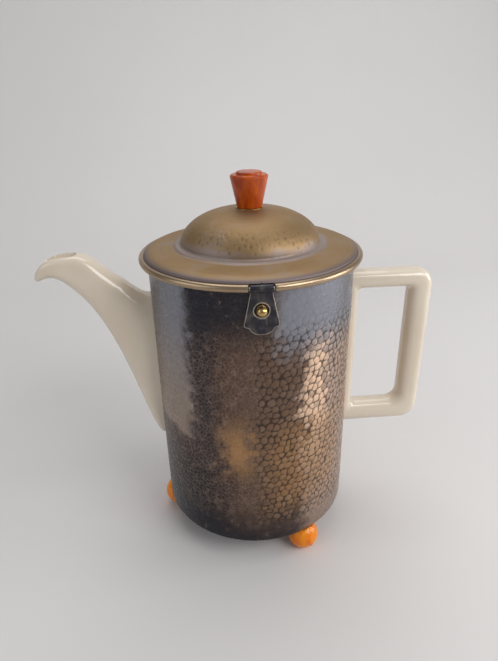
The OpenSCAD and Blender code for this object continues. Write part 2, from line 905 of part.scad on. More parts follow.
module hasp_outline() {
    union() {
        polygon([
            [hasp_top_w / 2, 0], [hasp_top_w / 2, -hasp_neck], [hasp_w / 2, -hasp_l + hasp_corner],
            [hasp_w / 2 - hasp_corner, -hasp_l], [-hasp_w / 2 + hasp_corner, -hasp_l],
            [-hasp_w / 2, -hasp_l + hasp_corner], [-hasp_top_w / 2, -hasp_neck], [-hasp_top_w / 2, 0]
        ]);
        intersection() {
            translate([0, tongue_r - hasp_l - tongue_l])
                circle(tongue_r);
            translate([-tongue_w / 2, -hasp_l - tongue_l])
                square([tongue_w, tongue_l + 1]);
        }
    }
}

pot_body();
pot_base();
spout();
handle();
jacket();
lining_felt();
floor_felt();
foot_1();
foot_2();
foot_3();
foot_screws();
ball_stud();
stud_washer();
hinge_strap();
hinge_rivets();
hinge_pin();
lid_shell();
rim_wire();
lid_knuckles();
lid_felt();
lid_plate();
knob_spacer();
knob_screw();
knob_washer();
knob();
hasp_pin();
hasp();
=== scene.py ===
"""Looks of an insulated coffee pot: ceramic pot, hammered jacket, hinged lid, hasp, knob and ball feet.

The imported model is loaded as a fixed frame, and each operator below builds or finishes one group of pieces.
Lengths are in metres, +Z is up, the handle is at +X, the spout at -X and the hasp at -Y. An azimuth is
measured from -Y (the hasp) towards +X (the handle).
"""

import math

import bmesh
import bpy
import numpy as np
from bpy.props import FloatProperty, FloatVectorProperty, IntProperty, PointerProperty
from bpy.types import Operator, Panel, PropertyGroup
from mathutils import Matrix, Vector


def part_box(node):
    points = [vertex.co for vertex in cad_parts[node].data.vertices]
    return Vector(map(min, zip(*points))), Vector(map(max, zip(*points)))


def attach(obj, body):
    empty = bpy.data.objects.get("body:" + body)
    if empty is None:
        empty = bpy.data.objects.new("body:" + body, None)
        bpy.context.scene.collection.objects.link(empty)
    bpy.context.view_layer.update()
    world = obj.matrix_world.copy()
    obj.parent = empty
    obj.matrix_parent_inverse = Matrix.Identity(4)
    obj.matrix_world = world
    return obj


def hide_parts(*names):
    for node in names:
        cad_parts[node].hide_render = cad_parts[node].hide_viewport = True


bl_info = {
    "name": "Insulated coffee pot",
    "version": (1, 0, 0),
    "blender": (4, 5, 0),
    "location": "View3D > Sidebar > Coffee Pot",
    "description": "Builds the looks of an insulated coffee pot around its packed frame",
    "category": "Object",
}

MM = 0.001

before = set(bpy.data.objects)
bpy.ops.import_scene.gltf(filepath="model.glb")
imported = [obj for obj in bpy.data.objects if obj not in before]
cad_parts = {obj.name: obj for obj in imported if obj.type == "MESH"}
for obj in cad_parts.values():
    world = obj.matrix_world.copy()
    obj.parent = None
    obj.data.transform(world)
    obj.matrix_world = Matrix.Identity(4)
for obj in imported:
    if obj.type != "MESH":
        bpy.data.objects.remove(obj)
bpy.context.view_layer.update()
JACKET_LOW, JACKET_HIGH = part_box("jacket")
LID_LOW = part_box("lid_shell")[0]
KNOB_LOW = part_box("knob")[0]
HASP_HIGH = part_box("hasp")[1]
HANDLE_LOW, HANDLE_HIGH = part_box("handle")
SPOUT_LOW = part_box("spout")[0]
FELT_LOW, FELT_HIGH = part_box("lining_felt")
POT_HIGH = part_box("pot_body")[1]
STUD_LOW, STUD_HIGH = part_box("ball_stud")

# Lid: radius of its band and of the rolled edge's middle line, then half the openings that the band and
# the rolled edge leave for the hasp and the hinge, in degrees
BAND_RADIUS = 59 * MM
EDGE_RADIUS = 60 * MM
HASP_NOTCH, HINGE_NOTCH = 5.45, 11.3
EDGE_HINGE_GAP = 11.1

# Spout: where its mouth starts and ends, as shares of its reach, and how the mouth is pressed in
MOUTH_BACK, MOUTH_TIP = 0.70, 0.875
MOUTH_TIP_RADIUS = 2.6 * MM
MOUTH_DEPTH = 10 * MM

# Handle: depth of the grip and of the lower bar, and the inner corner radii
GRIP_DEPTH = 13.6 * MM
TIGHT_CORNER, GRIP_CORNER = 2.8 * MM, 7 * MM

# Feet: distance from the axis, radius of the ball and of its flat sole, and directions from +X in degrees
FOOT_RING, FOOT_BALL, FOOT_SOLE = 52.6 * MM, 9.2 * MM, 2.2 * MM
FOOT_TURNS = (59, 179, 299)

# Knob: radius, height above its foot and corner radius, in mm
KNOB_LINE = (
    (0, 0, 0), (6.8, 0, 0.4), (10.3, 16.3, 0.4), (9.4, 17.2, 0.4), (7.0, 17.2, 0.3), (7.0, 18.1, 0.4),
    (6.4, 18.6, 0.4), (0, 18.6, 0),
)  # fmt: skip

# Hasp: the right half of its outline from the pin, its hole's height below the pin and its knuckle, in mm;
# then how far its face and its back lie from the pot's axis, and the pin's distance from the axis
HASP_OUTLINE = (
    (5.4, 0.6), (5.4, -3.2), (8.7, -19.2), (8.0, -20.0), (6.2, -20.4), (5.2, -22.4), (2.6, -23.9)
)  # fmt: skip
HASP_TOP, HASP_TIP, HASP_HOLE = 0.6, -24.2, -11.4
KNUCKLE_RADIUS, KNUCKLE_HALF = 1.9 * MM, 5.4 * MM
HASP_FACE, HASP_BACK, PIN_RADIUS = 59.1 * MM, 58.3 * MM, 60.2 * MM

# Lights: name, place, size of the square lamp in metres, power in watts; all point at LIGHT_AIM
LIGHTS = (
    ("key", (0.75, -0.75, 0.85), 0.7, 8.0),
    ("side_strip", (0.95, -0.1, 0.35), 0.5, 4.0),
    ("left_fill", (-1.1, -0.5, 0.6), 0.9, 3.0),
    ("top", (0.0, 0.5, 1.5), 1.2, 9.0),
)
LIGHT_AIM = (0, 0, 0.1)
SKY_COLOUR, SKY_STRENGTH = (0.8, 0.83, 0.88, 1), 0.34

# Floor: half width, front edge, start of the bend, its radius, and the height of the backdrop, in metres
FLOOR_HALF, FLOOR_FRONT, BEND_START, BEND_RADIUS, BACKDROP = 9, -9, 0.45, 0.5, 3


def tint(code):
    """A screen colour written in hexadecimal, as the linear red, green and blue that Blender works in."""
    screen = np.array([int(code[i : i + 2], 16) / 255 for i in (0, 2, 4)])
    linear = np.where(screen < 0.04045, screen / 12.92, ((screen + 0.055) / 1.055) ** 2.4)
    return tuple(float(v) for v in linear)


def length(name, description, default):
    return FloatProperty(
        name=name, description=description, default=default, min=0.0, unit="LENGTH", precision=5
    )


def angle(name, description, default):
    return FloatProperty(name=name, description=description, default=default, subtype="ANGLE")


def colour(name, description, code):
    return FloatVectorProperty(
        name=name, description=description, default=tint(code), subtype="COLOR", size=3, min=0.0, max=1.0
    )


# ---------------------------------------------------------------------------------------------------------
# Sizes and colours


class JacketSettings(PropertyGroup):
    radius: length("Radius", "Outer radius of the metal jacket", (JACKET_HIGH.y - JACKET_LOW.y) / 2)
    sheet: length("Sheet", "Thickness of the jacket's sheet", 0.9 * MM)
    corner: length("Corner", "Outer radius of the bottom corner", 2.2 * MM)
    step: length("Mesh step", "Spacing of the mesh on the hammered wall", 0.9 * MM)
    cell_width: length("Mark width", "Width of a hammer mark", 4.1 * MM)
    cell_height: length("Mark height", "Height of a row of hammer marks", 3.9 * MM)
    depth: length("Mark depth", "Depth of the grooves between the hammer marks", 0.32 * MM)
    seed: IntProperty(name="Seed", description="Which irregular pattern the hammer marks follow", default=7)
    deep: colour("Deep brown", "Brown tarnish left of the front", "4f3f3a")
    brown: colour("Brown", "Brown metal on the front", "6f5849")
    # A lighter tone on the right side of the jacket; it also paints the highlights on the edges of the hammer
    # marks on the left.
    light: colour("Worn plate", "Light, warm plate on the right", "b79d8c")
    # This coppery colour paints reflections: a bright streak right of the front and a strip beside the
    # handle.
    copper_reflection: colour("Copper", "Bright, coppery rub right of the front", "f2cdae")
    gold: colour("Gold", "Golden metal low on the front", "b5895a")
    # Above the shore on the left, this grey and the blue-grey are partly a painted reflection of a pale wall.
    plate: colour("Grey plate", "Grey plate on the left and the back", "948479")
    blue: colour("Blue-grey plate", "Blue-grey oxide near the rim", "84868f")
    # Besides oxide, this near-black paints dark reflections: a band left of the front and, low on the wall, a
    # dark floor.
    oxide_and_dark_reflection: colour("Slate", "Nearly black oxide at the rim and the base", "282a32")
    line: colour("Grooves", "Dirt in the grooves between the hammer marks", "2b201c")


class CeramicSettings(PropertyGroup):
    glaze: colour("Glaze", "Ivory glaze", "ddd0bd")
    shade: colour("Thin glaze", "Warmer tone where the glaze lies thick or is stained", "c9b79f")
    root_width: length("Root width", "Width of the spout where it leaves the pot", 24 * MM)
    neck_width: length("Neck width", "Width of the spout behind its mouth", 15 * MM)
    lip_width: length("Lip width", "Width of the spout's lip", 9 * MM)
    mouth_radius: length("Mouth radius", "Half the width of the spout's mouth", 4.6 * MM)
    rib: length("Rib", "How far the rib in the slot stands out of the jacket", 5.3 * MM)
    bar: length("Bar", "Width of the handle's bars", HANDLE_HIGH.y - HANDLE_LOW.y)
    top_bar: length("Top bar", "Width of the handle's upper bar", 10.6 * MM)
    corner: length("Corner", "Outer corner radius of the handle", 9.5 * MM)
    slot_gap: length("Slot gap", "Clearance between the ceramic and the jacket's slots", 0.5 * MM)


class LidSettings(PropertyGroup):
    sheet: length("Sheet", "Thickness of the lid's sheet", 0.8 * MM)
    bead: length("Bead", "Radius of the rolled edge", 1.9 * MM)
    dome: length("Dome", "Radius of the dome at its foot", 38.5 * MM)
    step: length("Step", "Radius of the step round the dome", 42.2 * MM)
    seat: length("Seat", "Radius of the flat seat under the knob", 7.8 * MM)
    shoulder: length("Shoulder", "Height of the shoulder above the bead's centre", 4.2 * MM)
    seed: IntProperty(name="Seed", description="Which pattern the dome's hammer marks follow", default=3)
    brass: colour("Brass", "Satin bronze of the dome and the ring", "977c58")
    plating: colour("Plating", "Lilac-grey plate that is left in the cove", "968a88")
    band: colour("Band", "Dark tarnish on the lid's upright band", "7b7071")
    edge: colour("Edge", "Bare brass of the rolled edge", "a8937a")
    spots: colour("Spots", "Dark spots in the dome's hammer marks", "4a3c33")


class TrimSettings(PropertyGroup):
    knob_deep: colour("Knob, deep", "Deep red-brown of the knob's resin", "962f02")
    knob_light: colour("Knob, light", "Light orange swirls in the knob's resin", "c45a04")
    foot_deep: colour("Foot, deep", "Deep orange of the feet", "dc6c04")
    foot_light: colour("Foot, light", "Light swirls in the feet", "f09820")
    hasp_dark: colour("Hasp", "Dark plate of the hasp", "38373d")
    # Along the hasp's outline this is worn metal; in a ring round its hole it is a painted highlight on the
    # hole's rim.
    hasp_worn_and_glint: colour("Hasp edge", "Worn metal along the hasp's edges", "b5aa9d")
    brass: colour("Brass", "Polished brass of the stud and the washer", "bfa067")
    steel: colour("Steel", "Plain steel of pins, screws and rivets", "a9a59c")
    felt: colour("Felt", "Wool felt of the lining", "4b5f52")
    felt_sheet: length("Felt sheet", "Thickness of the felt lining", 1.7 * MM)
    felt_step: length("Felt mesh step", "Spacing of the mesh on the felt lining", 2.5 * MM)
    hasp_hole: length("Hasp hole", "Radius of the hole in the hasp", 3.5 * MM)
    ball: length("Ball", "Radius of the ball on the stud", 2.65 * MM)


class StageSettings(PropertyGroup):
    distance: length("Distance", "How far the camera stands from the pot's axis", 277.94 * MM)
    height: length("Height", "Camera's height above the jacket's underside", 244.52 * MM)
    heading: angle("Heading", "Turn of the camera round the pot", math.radians(-4.6))
    pitch: angle("Pitch", "How far the camera looks down", 0.4433)
    roll: angle("Roll", "Turn of the camera about its view", -0.0235)
    swing: angle("Swing", "Camera's aim to the right of the axis", -0.0067)
    lens: FloatProperty(
        name="Lens", description="Focal length for a 36 mm long side", default=27.78, unit="CAMERA"
    )
    floor: colour("Floor", "Plain pale floor and backdrop", "d6d3d1")


# ---------------------------------------------------------------------------------------------------------
# Shader maths


class Value:
    """One output socket of a material; + - * / ** between sockets and numbers add Math nodes."""

    def __init__(self, finish, socket):
        self.finish, self.socket = finish, socket

    def math(self, operation, first, second=0.0):
        return self.finish.node("ShaderNodeMath", {"operation": operation}, {0: first, 1: second})

    def __add__(self, other):
        return self.math("ADD", self, other)

    def __sub__(self, other):
        return self.math("SUBTRACT", self, other)

    def __rsub__(self, other):
        return self.math("SUBTRACT", other, self)

    def __mul__(self, other):
        return self.math("MULTIPLY", self, other)

    def __truediv__(self, other):
        return self.math("DIVIDE", self, other)

    def __pow__(self, other):
        return self.math("POWER", self, other)

    __radd__, __rmul__ = __add__, __mul__

    def size(self):
        return self.math("ABSOLUTE", self)

    def most(self, other):
        return self.math("MAXIMUM", self, other)

    def ease(self, start, end):
        """0 before start, 1 after end, and a smooth step between them; start may be the larger one."""
        settings = {"interpolation_type": "SMOOTHSTEP"}
        return self.finish.node("ShaderNodeMapRange", settings, {0: self, 1: start, 2: end, 3: 0.0, 4: 1.0})


class Finish:
    """A material that is built up from one Principled shader."""

    def __init__(self, name):
        self.material = bpy.data.materials.new(name)
        self.material.use_nodes = True
        self.tree = self.material.node_tree
        self.shader = next(n for n in self.tree.nodes if n.type == "BSDF_PRINCIPLED")

    def put(self, socket, value):
        if isinstance(value, Value):
            self.tree.links.new(value.socket, socket)
        elif hasattr(value, "__len__") and socket.type == "RGBA":
            socket.default_value = (*tuple(value)[:3], 1.0)
        else:
            socket.default_value = value

    def node(self, kind, settings=None, inputs=None, output=0):
        """Adds one node of a type, sets its settings first and then the values or links of its sockets."""
        made = self.tree.nodes.new(kind)
        for key, value in (settings or {}).items():
            setattr(made, key, value)
        for key, value in (inputs or {}).items():
            self.put(made.inputs[key], value)
        return Value(self, made.outputs[output])

    def place(self):
        return self.node("ShaderNodeTexCoord", output="Object")

    def parts(self, vector):
        split = self.node("ShaderNodeSeparateXYZ", {}, {0: vector}).socket.node
        return [Value(self, socket) for socket in split.outputs]

    def stretch(self, vector, scale):
        return self.node("ShaderNodeMapping", {}, {"Vector": vector, "Scale": scale})

    def noise(self, vector, scale, detail=3.0, roughness=0.55, distortion=0.0):
        inputs = {"Vector": vector, "Scale": scale, "Detail": detail}
        inputs |= {"Roughness": roughness, "Distortion": distortion}
        return self.node("ShaderNodeTexNoise", {}, inputs)

    def cells(self, vector, scale, feature="F1"):
        return self.node("ShaderNodeTexVoronoi", {"feature": feature}, {"Vector": vector, "Scale": scale})

    def own(self, name):
        """A value that the mesh itself carries at its points."""
        settings = {"attribute_type": "GEOMETRY", "attribute_name": name}
        return self.node("ShaderNodeAttribute", settings, {}, "Fac")

    def mix(self, share, first, second):
        return self.node("ShaderNodeMix", {"data_type": "RGBA"}, {0: share, 6: first, 7: second}, 2)

    def azimuth(self, x, y):
        """Degrees from -Y towards +X: the arc tangent of x over minus y."""
        return x.math("ARCTAN2", x, y * -1.0) * (180 / math.pi)

    def bump(self, height, distance, strength=1.0):
        inputs = {"Height": height, "Distance": distance, "Strength": strength}
        return self.node("ShaderNodeBump", {}, inputs, "Normal")

    def done(self, **sockets):
        """Sets the shader's sockets by name, with an underscore for each space."""
        for key, value in sockets.items():
            self.put(self.shader.inputs[key.replace("_", " ")], value)
        return self.material


# ---------------------------------------------------------------------------------------------------------
# Mesh making


def smooth(value, start, end):
    """Smooth step: 0 before start, 1 after end, 3t^2 - 2t^3 between them."""
    t = np.clip((value - start) / (end - start), 0, 1)
    return t * t * (3 - 2 * t)


def mix(first, second, share):
    """first where share is 0, second where it is 1, and in proportion between them."""
    return first + (second - first) * share


def grid_faces(rows, columns, keep=None, flip=False):
    """Four-cornered faces of a grid of points, row by row; keep is a mask of the faces that stay."""
    corner = np.arange(rows * columns).reshape(rows, columns)
    faces = np.stack([corner[:-1, :-1], corner[:-1, 1:], corner[1:, 1:], corner[1:, :-1]], -1)
    if keep is not None:
        faces = faces[keep]
    faces = faces.reshape(-1, 4)
    return faces[:, ::-1] if flip else faces


def joined(parts):
    """Stacks grids of points, each (points, faces), into one list of points and one of faces."""
    points, faces, start = [], [], 0
    for grid, corners in parts:
        grid = grid.reshape(-1, 3)
        points.append(grid)
        faces.append(corners + start)
        start += len(grid)
    return np.concatenate(points), np.concatenate(faces)


def make_piece(name, parts, finish, body, replaces=(), crease=40, carried=None):
    """Puts grids of points into one mesh, merges points where they meet, and hands the piece to its body.
    carried holds values that the points keep, by name."""
    points, faces = joined(parts)
    mesh = bpy.data.meshes.new(name)
    mesh.from_pydata(points.tolist(), [], faces.tolist())
    for key, values in (carried or {}).items():
        mesh.attributes.new(key, "FLOAT", "POINT").data.foreach_set("value", np.float32(values))
    shell = bmesh.new()
    shell.from_mesh(mesh)
    bmesh.ops.remove_doubles(shell, verts=shell.verts, dist=2e-6)
    bmesh.ops.dissolve_degenerate(shell, edges=shell.edges, dist=1e-7)
    shell.to_mesh(mesh)
    shell.free()
    mesh.polygons.foreach_set("use_smooth", np.ones(len(mesh.polygons), bool))
    mesh.set_sharp_from_angle(angle=math.radians(crease))
    mesh.materials.append(finish)
    piece = bpy.data.objects.new(name, mesh)
    bpy.context.scene.collection.objects.link(piece)
    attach(piece, body)
    if replaces:
        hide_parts(*replaces)
    return piece


def finish_nodes(finish, *nodes):
    """Gives carried-over CAD nodes a new finish."""
    for name in nodes:
        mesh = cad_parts[name].data
        mesh.materials.clear()
        mesh.materials.append(finish)


def rounded_line(corners, steps=5):
    """A line through corners [x, z, radius]: each corner is cut back by its radius and bridged by a curve
    whose point at t is (1-t)^2 a + 2t(1-t) corner + t^2 b."""
    corners = np.array(corners, float)
    out = [corners[:1, :2]]
    t = np.linspace(0, 1, steps + 1)[:, None]
    for before, here, after in zip(corners[:-2], corners[1:-1], corners[2:]):
        if here[2] <= 0:
            out.append(here[None, :2])
            continue
        back, on = before[:2] - here[:2], after[:2] - here[:2]
        a = here[:2] + back / np.linalg.norm(back) * min(here[2], np.linalg.norm(back) * 0.49)
        b = here[:2] + on / np.linalg.norm(on) * min(here[2], np.linalg.norm(on) * 0.49)
        out.append((1 - t) ** 2 * a + 2 * t * (1 - t) * here[:2] + t**2 * b)
    out.append(corners[-1:, :2])
    return np.concatenate(out)


def resampled(line, step):
    """Extra points along a line, so that no two neighbours are further apart than step."""
    count = np.maximum(1, np.ceil(np.linalg.norm(np.diff(line, axis=0), axis=1) / step)).astype(int)
    at = np.concatenate([[0.0], np.cumsum(np.repeat(1 / count, count))])
    return np.stack([np.interp(at, np.arange(len(line)), line[:, k]) for k in (0, 1)], -1)


def on_wall(azimuth, z, radius):
    """Points at an azimuth a, a height and a radius r: (r sin a, -r cos a, height)."""
    a = np.radians(azimuth)
    return np.stack([radius * np.sin(a), -radius * np.cos(a), z + 0 * a], -1)


def turned(line, columns):
    """Turned surface: each point of the line, as (radius, height), is carried once round the axis."""
    points = on_wall(np.linspace(0, 360, columns + 1)[None, :], line[:, 1:], line[:, :1])
    return points, grid_faces(len(line), columns + 1)


def smooth_run(points, steps):
    """Cubic curves between every third point: p0(1-t)^3 + 3 p1 t(1-t)^2 + 3 p2 t^2(1-t) + p3 t^3."""
    p = np.array(points, float)
    i = np.arange(0, len(p) - 3, 3)[:, None]
    t = np.linspace(0, 1, steps, endpoint=False)[None, :, None]
    run = (
        p[i] * (1 - t) ** 3
        + 3 * p[i + 1] * t * (1 - t) ** 2
        + 3 * p[i + 2] * t**2 * (1 - t)
        + p[i + 3] * t**3
    )
    return np.concatenate([run.reshape(-1, p.shape[1]), p[-1:]])


# ---------------------------------------------------------------------------------------------------------
# Spout: side view and sections

SPOUT_REACH = -SPOUT_LOW.x - JACKET_HIGH.y
SPOUT_FOOT = JACKET_LOW.z + 43.5 * MM
SPOUT_RISE = 96.5 * MM
SPOUT_UPPER = (
    (0.02, 1), (0.12, 1), (0.17, 1.06), (0.29, 1.11), (0.41, 1.165), (0.50, 1.255), (0.64, 1.255),
    (0.79, 1.255), (0.965, 1.235), (1, 1.135),
)  # fmt: skip
SPOUT_LOWER = (
    (0.02, 0), (0.09, 0.025), (0.146, 0.19), (0.25, 0.44), (0.36, 0.69), (0.46, 0.886), (0.664, 1.033),
    (0.81, 1.14), (0.85, 1.135), (0.97, 1.11),
)  # fmt: skip
SPOUT_NARROWING = (1, 1, 0.85, 0.62, 0.4, 0.15, 0, 0, 0, 0)


def spout_edges(steps, radius):
    """Upper and lower edge of the spout in side view, as (distance from the axis, height)."""
    start, size = np.array([radius, SPOUT_FOOT]), np.array([SPOUT_REACH, SPOUT_RISE])
    return start + smooth_run(SPOUT_UPPER, steps) * size, start + smooth_run(SPOUT_LOWER, steps) * size


def spout_section(top, low, width, square, skew, sides):
    """Rounded drop between two points of the side view. At angle a from the top, along is cos a and
    across is sin a, each raised to the power square with its sign kept. Across is then multiplied by
    (1 + skew cos a) / (1 + skew^2)."""
    a = np.linspace(0, 2 * math.pi, sides + 1)[None, :]
    power = lambda v, e: np.sign(v) * np.abs(v) ** e
    along = power(np.cos(a), square)
    across = power(np.sin(a), square) * (1 + skew * np.cos(a)) / (1 + skew * skew)
    u = mix(low[:, :1], top[:, :1], (along + 1) / 2)
    z = mix(low[:, 1:], top[:, 1:], (along + 1) / 2)
    return u, across * width / 2, z


def slot_half_width(z, gap, root_width):
    """Half the width of the spout's slot at a height: the root's outline, then straight up to the rim."""
    top = np.array([[0, SPOUT_FOOT + SPOUT_RISE + gap]])
    low = np.array([[0, SPOUT_FOOT - gap]])
    _, across, height = spout_section(top, low, root_width + 2 * gap, 0.85, 0.5, 360)
    widest = int(np.argmax(across[0, :180]))
    rising = slice(widest, 181)
    order = np.argsort(height[0, rising])
    outline = np.interp(z, height[0, rising][order], across[0, rising][order])
    widened = smooth(z, SPOUT_FOOT + 0.55 * SPOUT_RISE, SPOUT_FOOT + 0.72 * SPOUT_RISE)
    return mix(outline, root_width / 2 + gap, widened)


# ---------------------------------------------------------------------------------------------------------
# Slotted walls: the jacket and its felt


INNER_STEP = 4 * MM  # spacing of the mesh on a plain inner wall
FLOOR_RINGS = (0.8, 0.6, 0.4, 0.2, 0.07, 0.0)  # rings of the can's bottom, as shares of its flat part


def hammer_marks(azimuth, z, radius, width, height, seed):
    """Irregular rows of marks. Each mark has a centre in a brick pattern, moved at random and given a
    random size. The first value is the distance to the nearest centre, the second how much further the
    next one is (0 on a border), the third a random tone of the mark."""
    columns = round(2 * math.pi * radius / width)
    pitch = 2 * math.pi * radius / columns
    rows = int(np.ceil((z.max() - z.min()) / height)) + 8
    random = np.random.default_rng(seed)
    shift = random.uniform(-0.3, 0.3, (rows, columns, 2))
    weight = random.uniform(-0.11, 0.11, (rows, columns)) * width
    tone = random.uniform(0, 1, (rows, columns))
    s = np.radians(azimuth.ravel()) * radius
    h = (z.ravel() - z.min()) / height + 3
    row0 = np.floor(h).astype(int)
    near, shade = [], []
    for dr in (-2, -1, 0, 1, 2):
        row = np.clip(row0 + dr, 0, rows - 1)
        lean = 0.5 * (row % 2)
        column0 = np.floor(s / pitch - lean).astype(int)
        for dc in (-2, -1, 0, 1, 2):
            column = (column0 + dc) % columns
            ds = (column0 + dc + 0.5 + lean + shift[row, column, 0]) * pitch - s
            dh = (row + 0.5 + shift[row, column, 1] - h) * height
            near.append(np.hypot(ds, dh) - weight[row, column])
            shade.append(tone[row, column])
    near, shade = np.array(near), np.array(shade)
    order = np.argsort(near, axis=0)[:2]
    first, second = np.take_along_axis(near, order, 0)
    tones = np.take_along_axis(shade, order[:1], 0)[0]
    return first.reshape(z.shape), (second - first).reshape(z.shape), tones.reshape(z.shape)


def slotted_panel(radius, low, high, step, gap, bar, root_width):
    """Azimuth and height of a wall's front half. The rows bend so that one of them meets the foot of both
    slots. Above it the columns spread between the slots' edges, and a few more stand below the handle's."""
    handle_edge = math.degrees(math.asin((bar / 2 + gap) / radius))
    handle_foot = HANDLE_LOW.z - gap
    spout_foot = SPOUT_FOOT - gap
    below = max(2, round((spout_foot - low) / step))
    above = max(2, round((high - spout_foot) / step))
    main = max(4, round(math.radians(180 - handle_edge) * radius / step))
    extra = max(2, round(math.radians(handle_edge) * radius / step))
    across = np.linspace(0, 1, main + 1)[None, :]
    way = np.radians(mix(-90, 90 - handle_edge, across))
    foot = mix(spout_foot, handle_foot, (1 + np.sin(way)) / 2)
    t_low, t_high = np.linspace(0, 1, below + 1)[:, None], np.linspace(0, 1, above + 1)[1:, None]
    z_main = np.concatenate([mix(low, foot, t_low), mix(foot, high, t_high)])
    half = slot_half_width(z_main[:, :1], gap, root_width)
    half = np.where(np.arange(len(z_main))[:, None] <= below, 0, half)
    start = -90 + np.degrees(np.arcsin(half / radius))
    az_main = mix(start, 90 - handle_edge, across)
    side = np.linspace(0, 1, extra + 1)[None, 1:]
    az_side = mix(90 - handle_edge, 90, side) + 0 * z_main[:, :1]
    climb = np.clip(np.arange(len(z_main)) / below, 0, 1)[:, None]
    z_side = z_main[:, -1:] + (handle_foot - foot[:, -1:]) * climb + 0 * az_side
    keep = np.ones((below + above, main + extra), bool)
    keep[below:, main:] = False
    return np.hstack([az_main, az_side]), np.hstack([z_main, z_side]), keep, below, main


def panel_border(below, main, rows, columns):
    """Row and column numbers along a panel's cut edge: foot, up one slot, along the rim, down the other."""
    row = [np.full(columns - main, below), np.arange(below, rows), np.full(main, rows - 1)]
    row.append(np.arange(rows - 2, below - 1, -1))
    column = [np.arange(columns - 1, main - 1, -1), np.full(rows - below, main), np.arange(main)[::-1]]
    column.append(np.zeros(rows - 1 - below, int))
    return np.concatenate(row), np.concatenate(column)


def slotted_can(radius, sheet, low, high, corner, step, gap, bar, root_width, relief):
    """A can with two slots that are open at the rim: fine outer wall, cut edges, plain inner wall.
    relief gives how far the outer wall stands out at each azimuth and height, and three values to carry."""
    parts, carried = [], []
    wall_low = low + corner

    def add(azimuth, z, r, keep=None, flip=False, marks=None):
        points = on_wall(azimuth, z, r)
        parts.append((points, grid_faces(*points.shape[:2], keep, flip)))
        carried.append(np.zeros((3, points[..., 0].size)) if marks is None else marks.reshape(3, -1))

    for back in (False, True):
        azimuth, z, keep, below, main = slotted_panel(radius, wall_low, high, step, gap, bar, root_width)
        azimuth = 180 - azimuth if back else azimuth
        lift, marks = relief(azimuth, z)
        add(azimuth, z, radius + lift, keep, back, marks)
        edge = panel_border(below, main, *azimuth.shape)
        lip = np.array([0.0, 0.5, 1.0])[:, None]
        lip_r = radius + lift[edge][None, :] * (1 - lip) - lip * sheet
        add(azimuth[edge][None, :] + 0 * lip, z[edge][None, :] + 0 * lip, lip_r, None, not back)
        inner_step = max(step, INNER_STEP)
        inner, inner_z, keep, _, _ = slotted_panel(radius, wall_low, high, inner_step, gap, bar, root_width)
        add(180 - inner if back else inner, inner_z, radius - sheet, keep, not back)
        if corner:
            bend = np.radians(np.linspace(0, 90, 7))[:, None]
            inside = np.array(FLOOR_RINGS)[:, None] * (radius - corner)
            r = np.concatenate([radius - corner + corner * np.cos(bend), inside])
            height = np.concatenate([wall_low - corner * np.sin(bend), low + 0 * inside])
            add(azimuth[:1] + 0 * r, height, r, None, not back)
            r, height = np.maximum(r - sheet, 0), np.maximum(height, low + sheet)
            add(azimuth[:1] + 0 * r, height, r, None, back)
        else:
            lip = np.array([0.0, 0.5, 1.0])[:, None] * sheet
            add(azimuth[:1] + 0 * lip, z[:1] + 0 * lip, radius - lip, None, not back)
    return parts, np.concatenate(carried, 1)


def plain_wall(azimuth, z):
    """A slight, slow unevenness of soft felt: the product of two sines."""
    lift = 0.05 * MM * np.sin(np.radians(azimuth) * 17) * np.sin(z / (7 * MM))
    return lift, np.zeros((3, *z.shape))


def hammered_wall(s):
    """Relief of the jacket: shallow pebbles with grooves between them, and marks that are deep on the front
    and nearly polished away at the rim, at the base and to the left."""

    def relief(azimuth, z):
        near, border, tone = hammer_marks(azimuth, z, s.radius, s.cell_width, s.cell_height, s.seed)
        turn = (azimuth + 180) % 360 - 180
        share = (z - JACKET_LOW.z) / (JACKET_HIGH.z - JACKET_LOW.z)
        front = smooth(turn, -14, 2) * (1 - smooth(turn, 66, 90))
        reach = mix(0.55, 1, front) * mix(0.15, 1, smooth(share, 0.03, 0.12))
        reach = reach * mix(1, 0.3, smooth(share, 0.8, 0.92))
        corners = smooth(near, 0.5 * s.cell_width, 0.72 * s.cell_width)
        groove = 1 - smooth(border, 0.1 * MM, 1.25 * MM) * (1 - corners)
        crown = 1 - smooth(near, 0.0, 0.55 * s.cell_width)
        settle = smooth(z, JACKET_LOW.z + s.corner, JACKET_LOW.z + s.corner + 2 * MM)
        lift = settle * reach * s.depth * (0.45 * crown - groove)
        return lift, np.stack([groove, tone, reach])

    return relief


# ---------------------------------------------------------------------------------------------------------
# Finishes


def patch(value, start, end, soft):
    """1 between start and end of a value, with soft borders."""
    return value.ease(start - soft, start + soft) * (1 - value.ease(end - soft, end + soft))


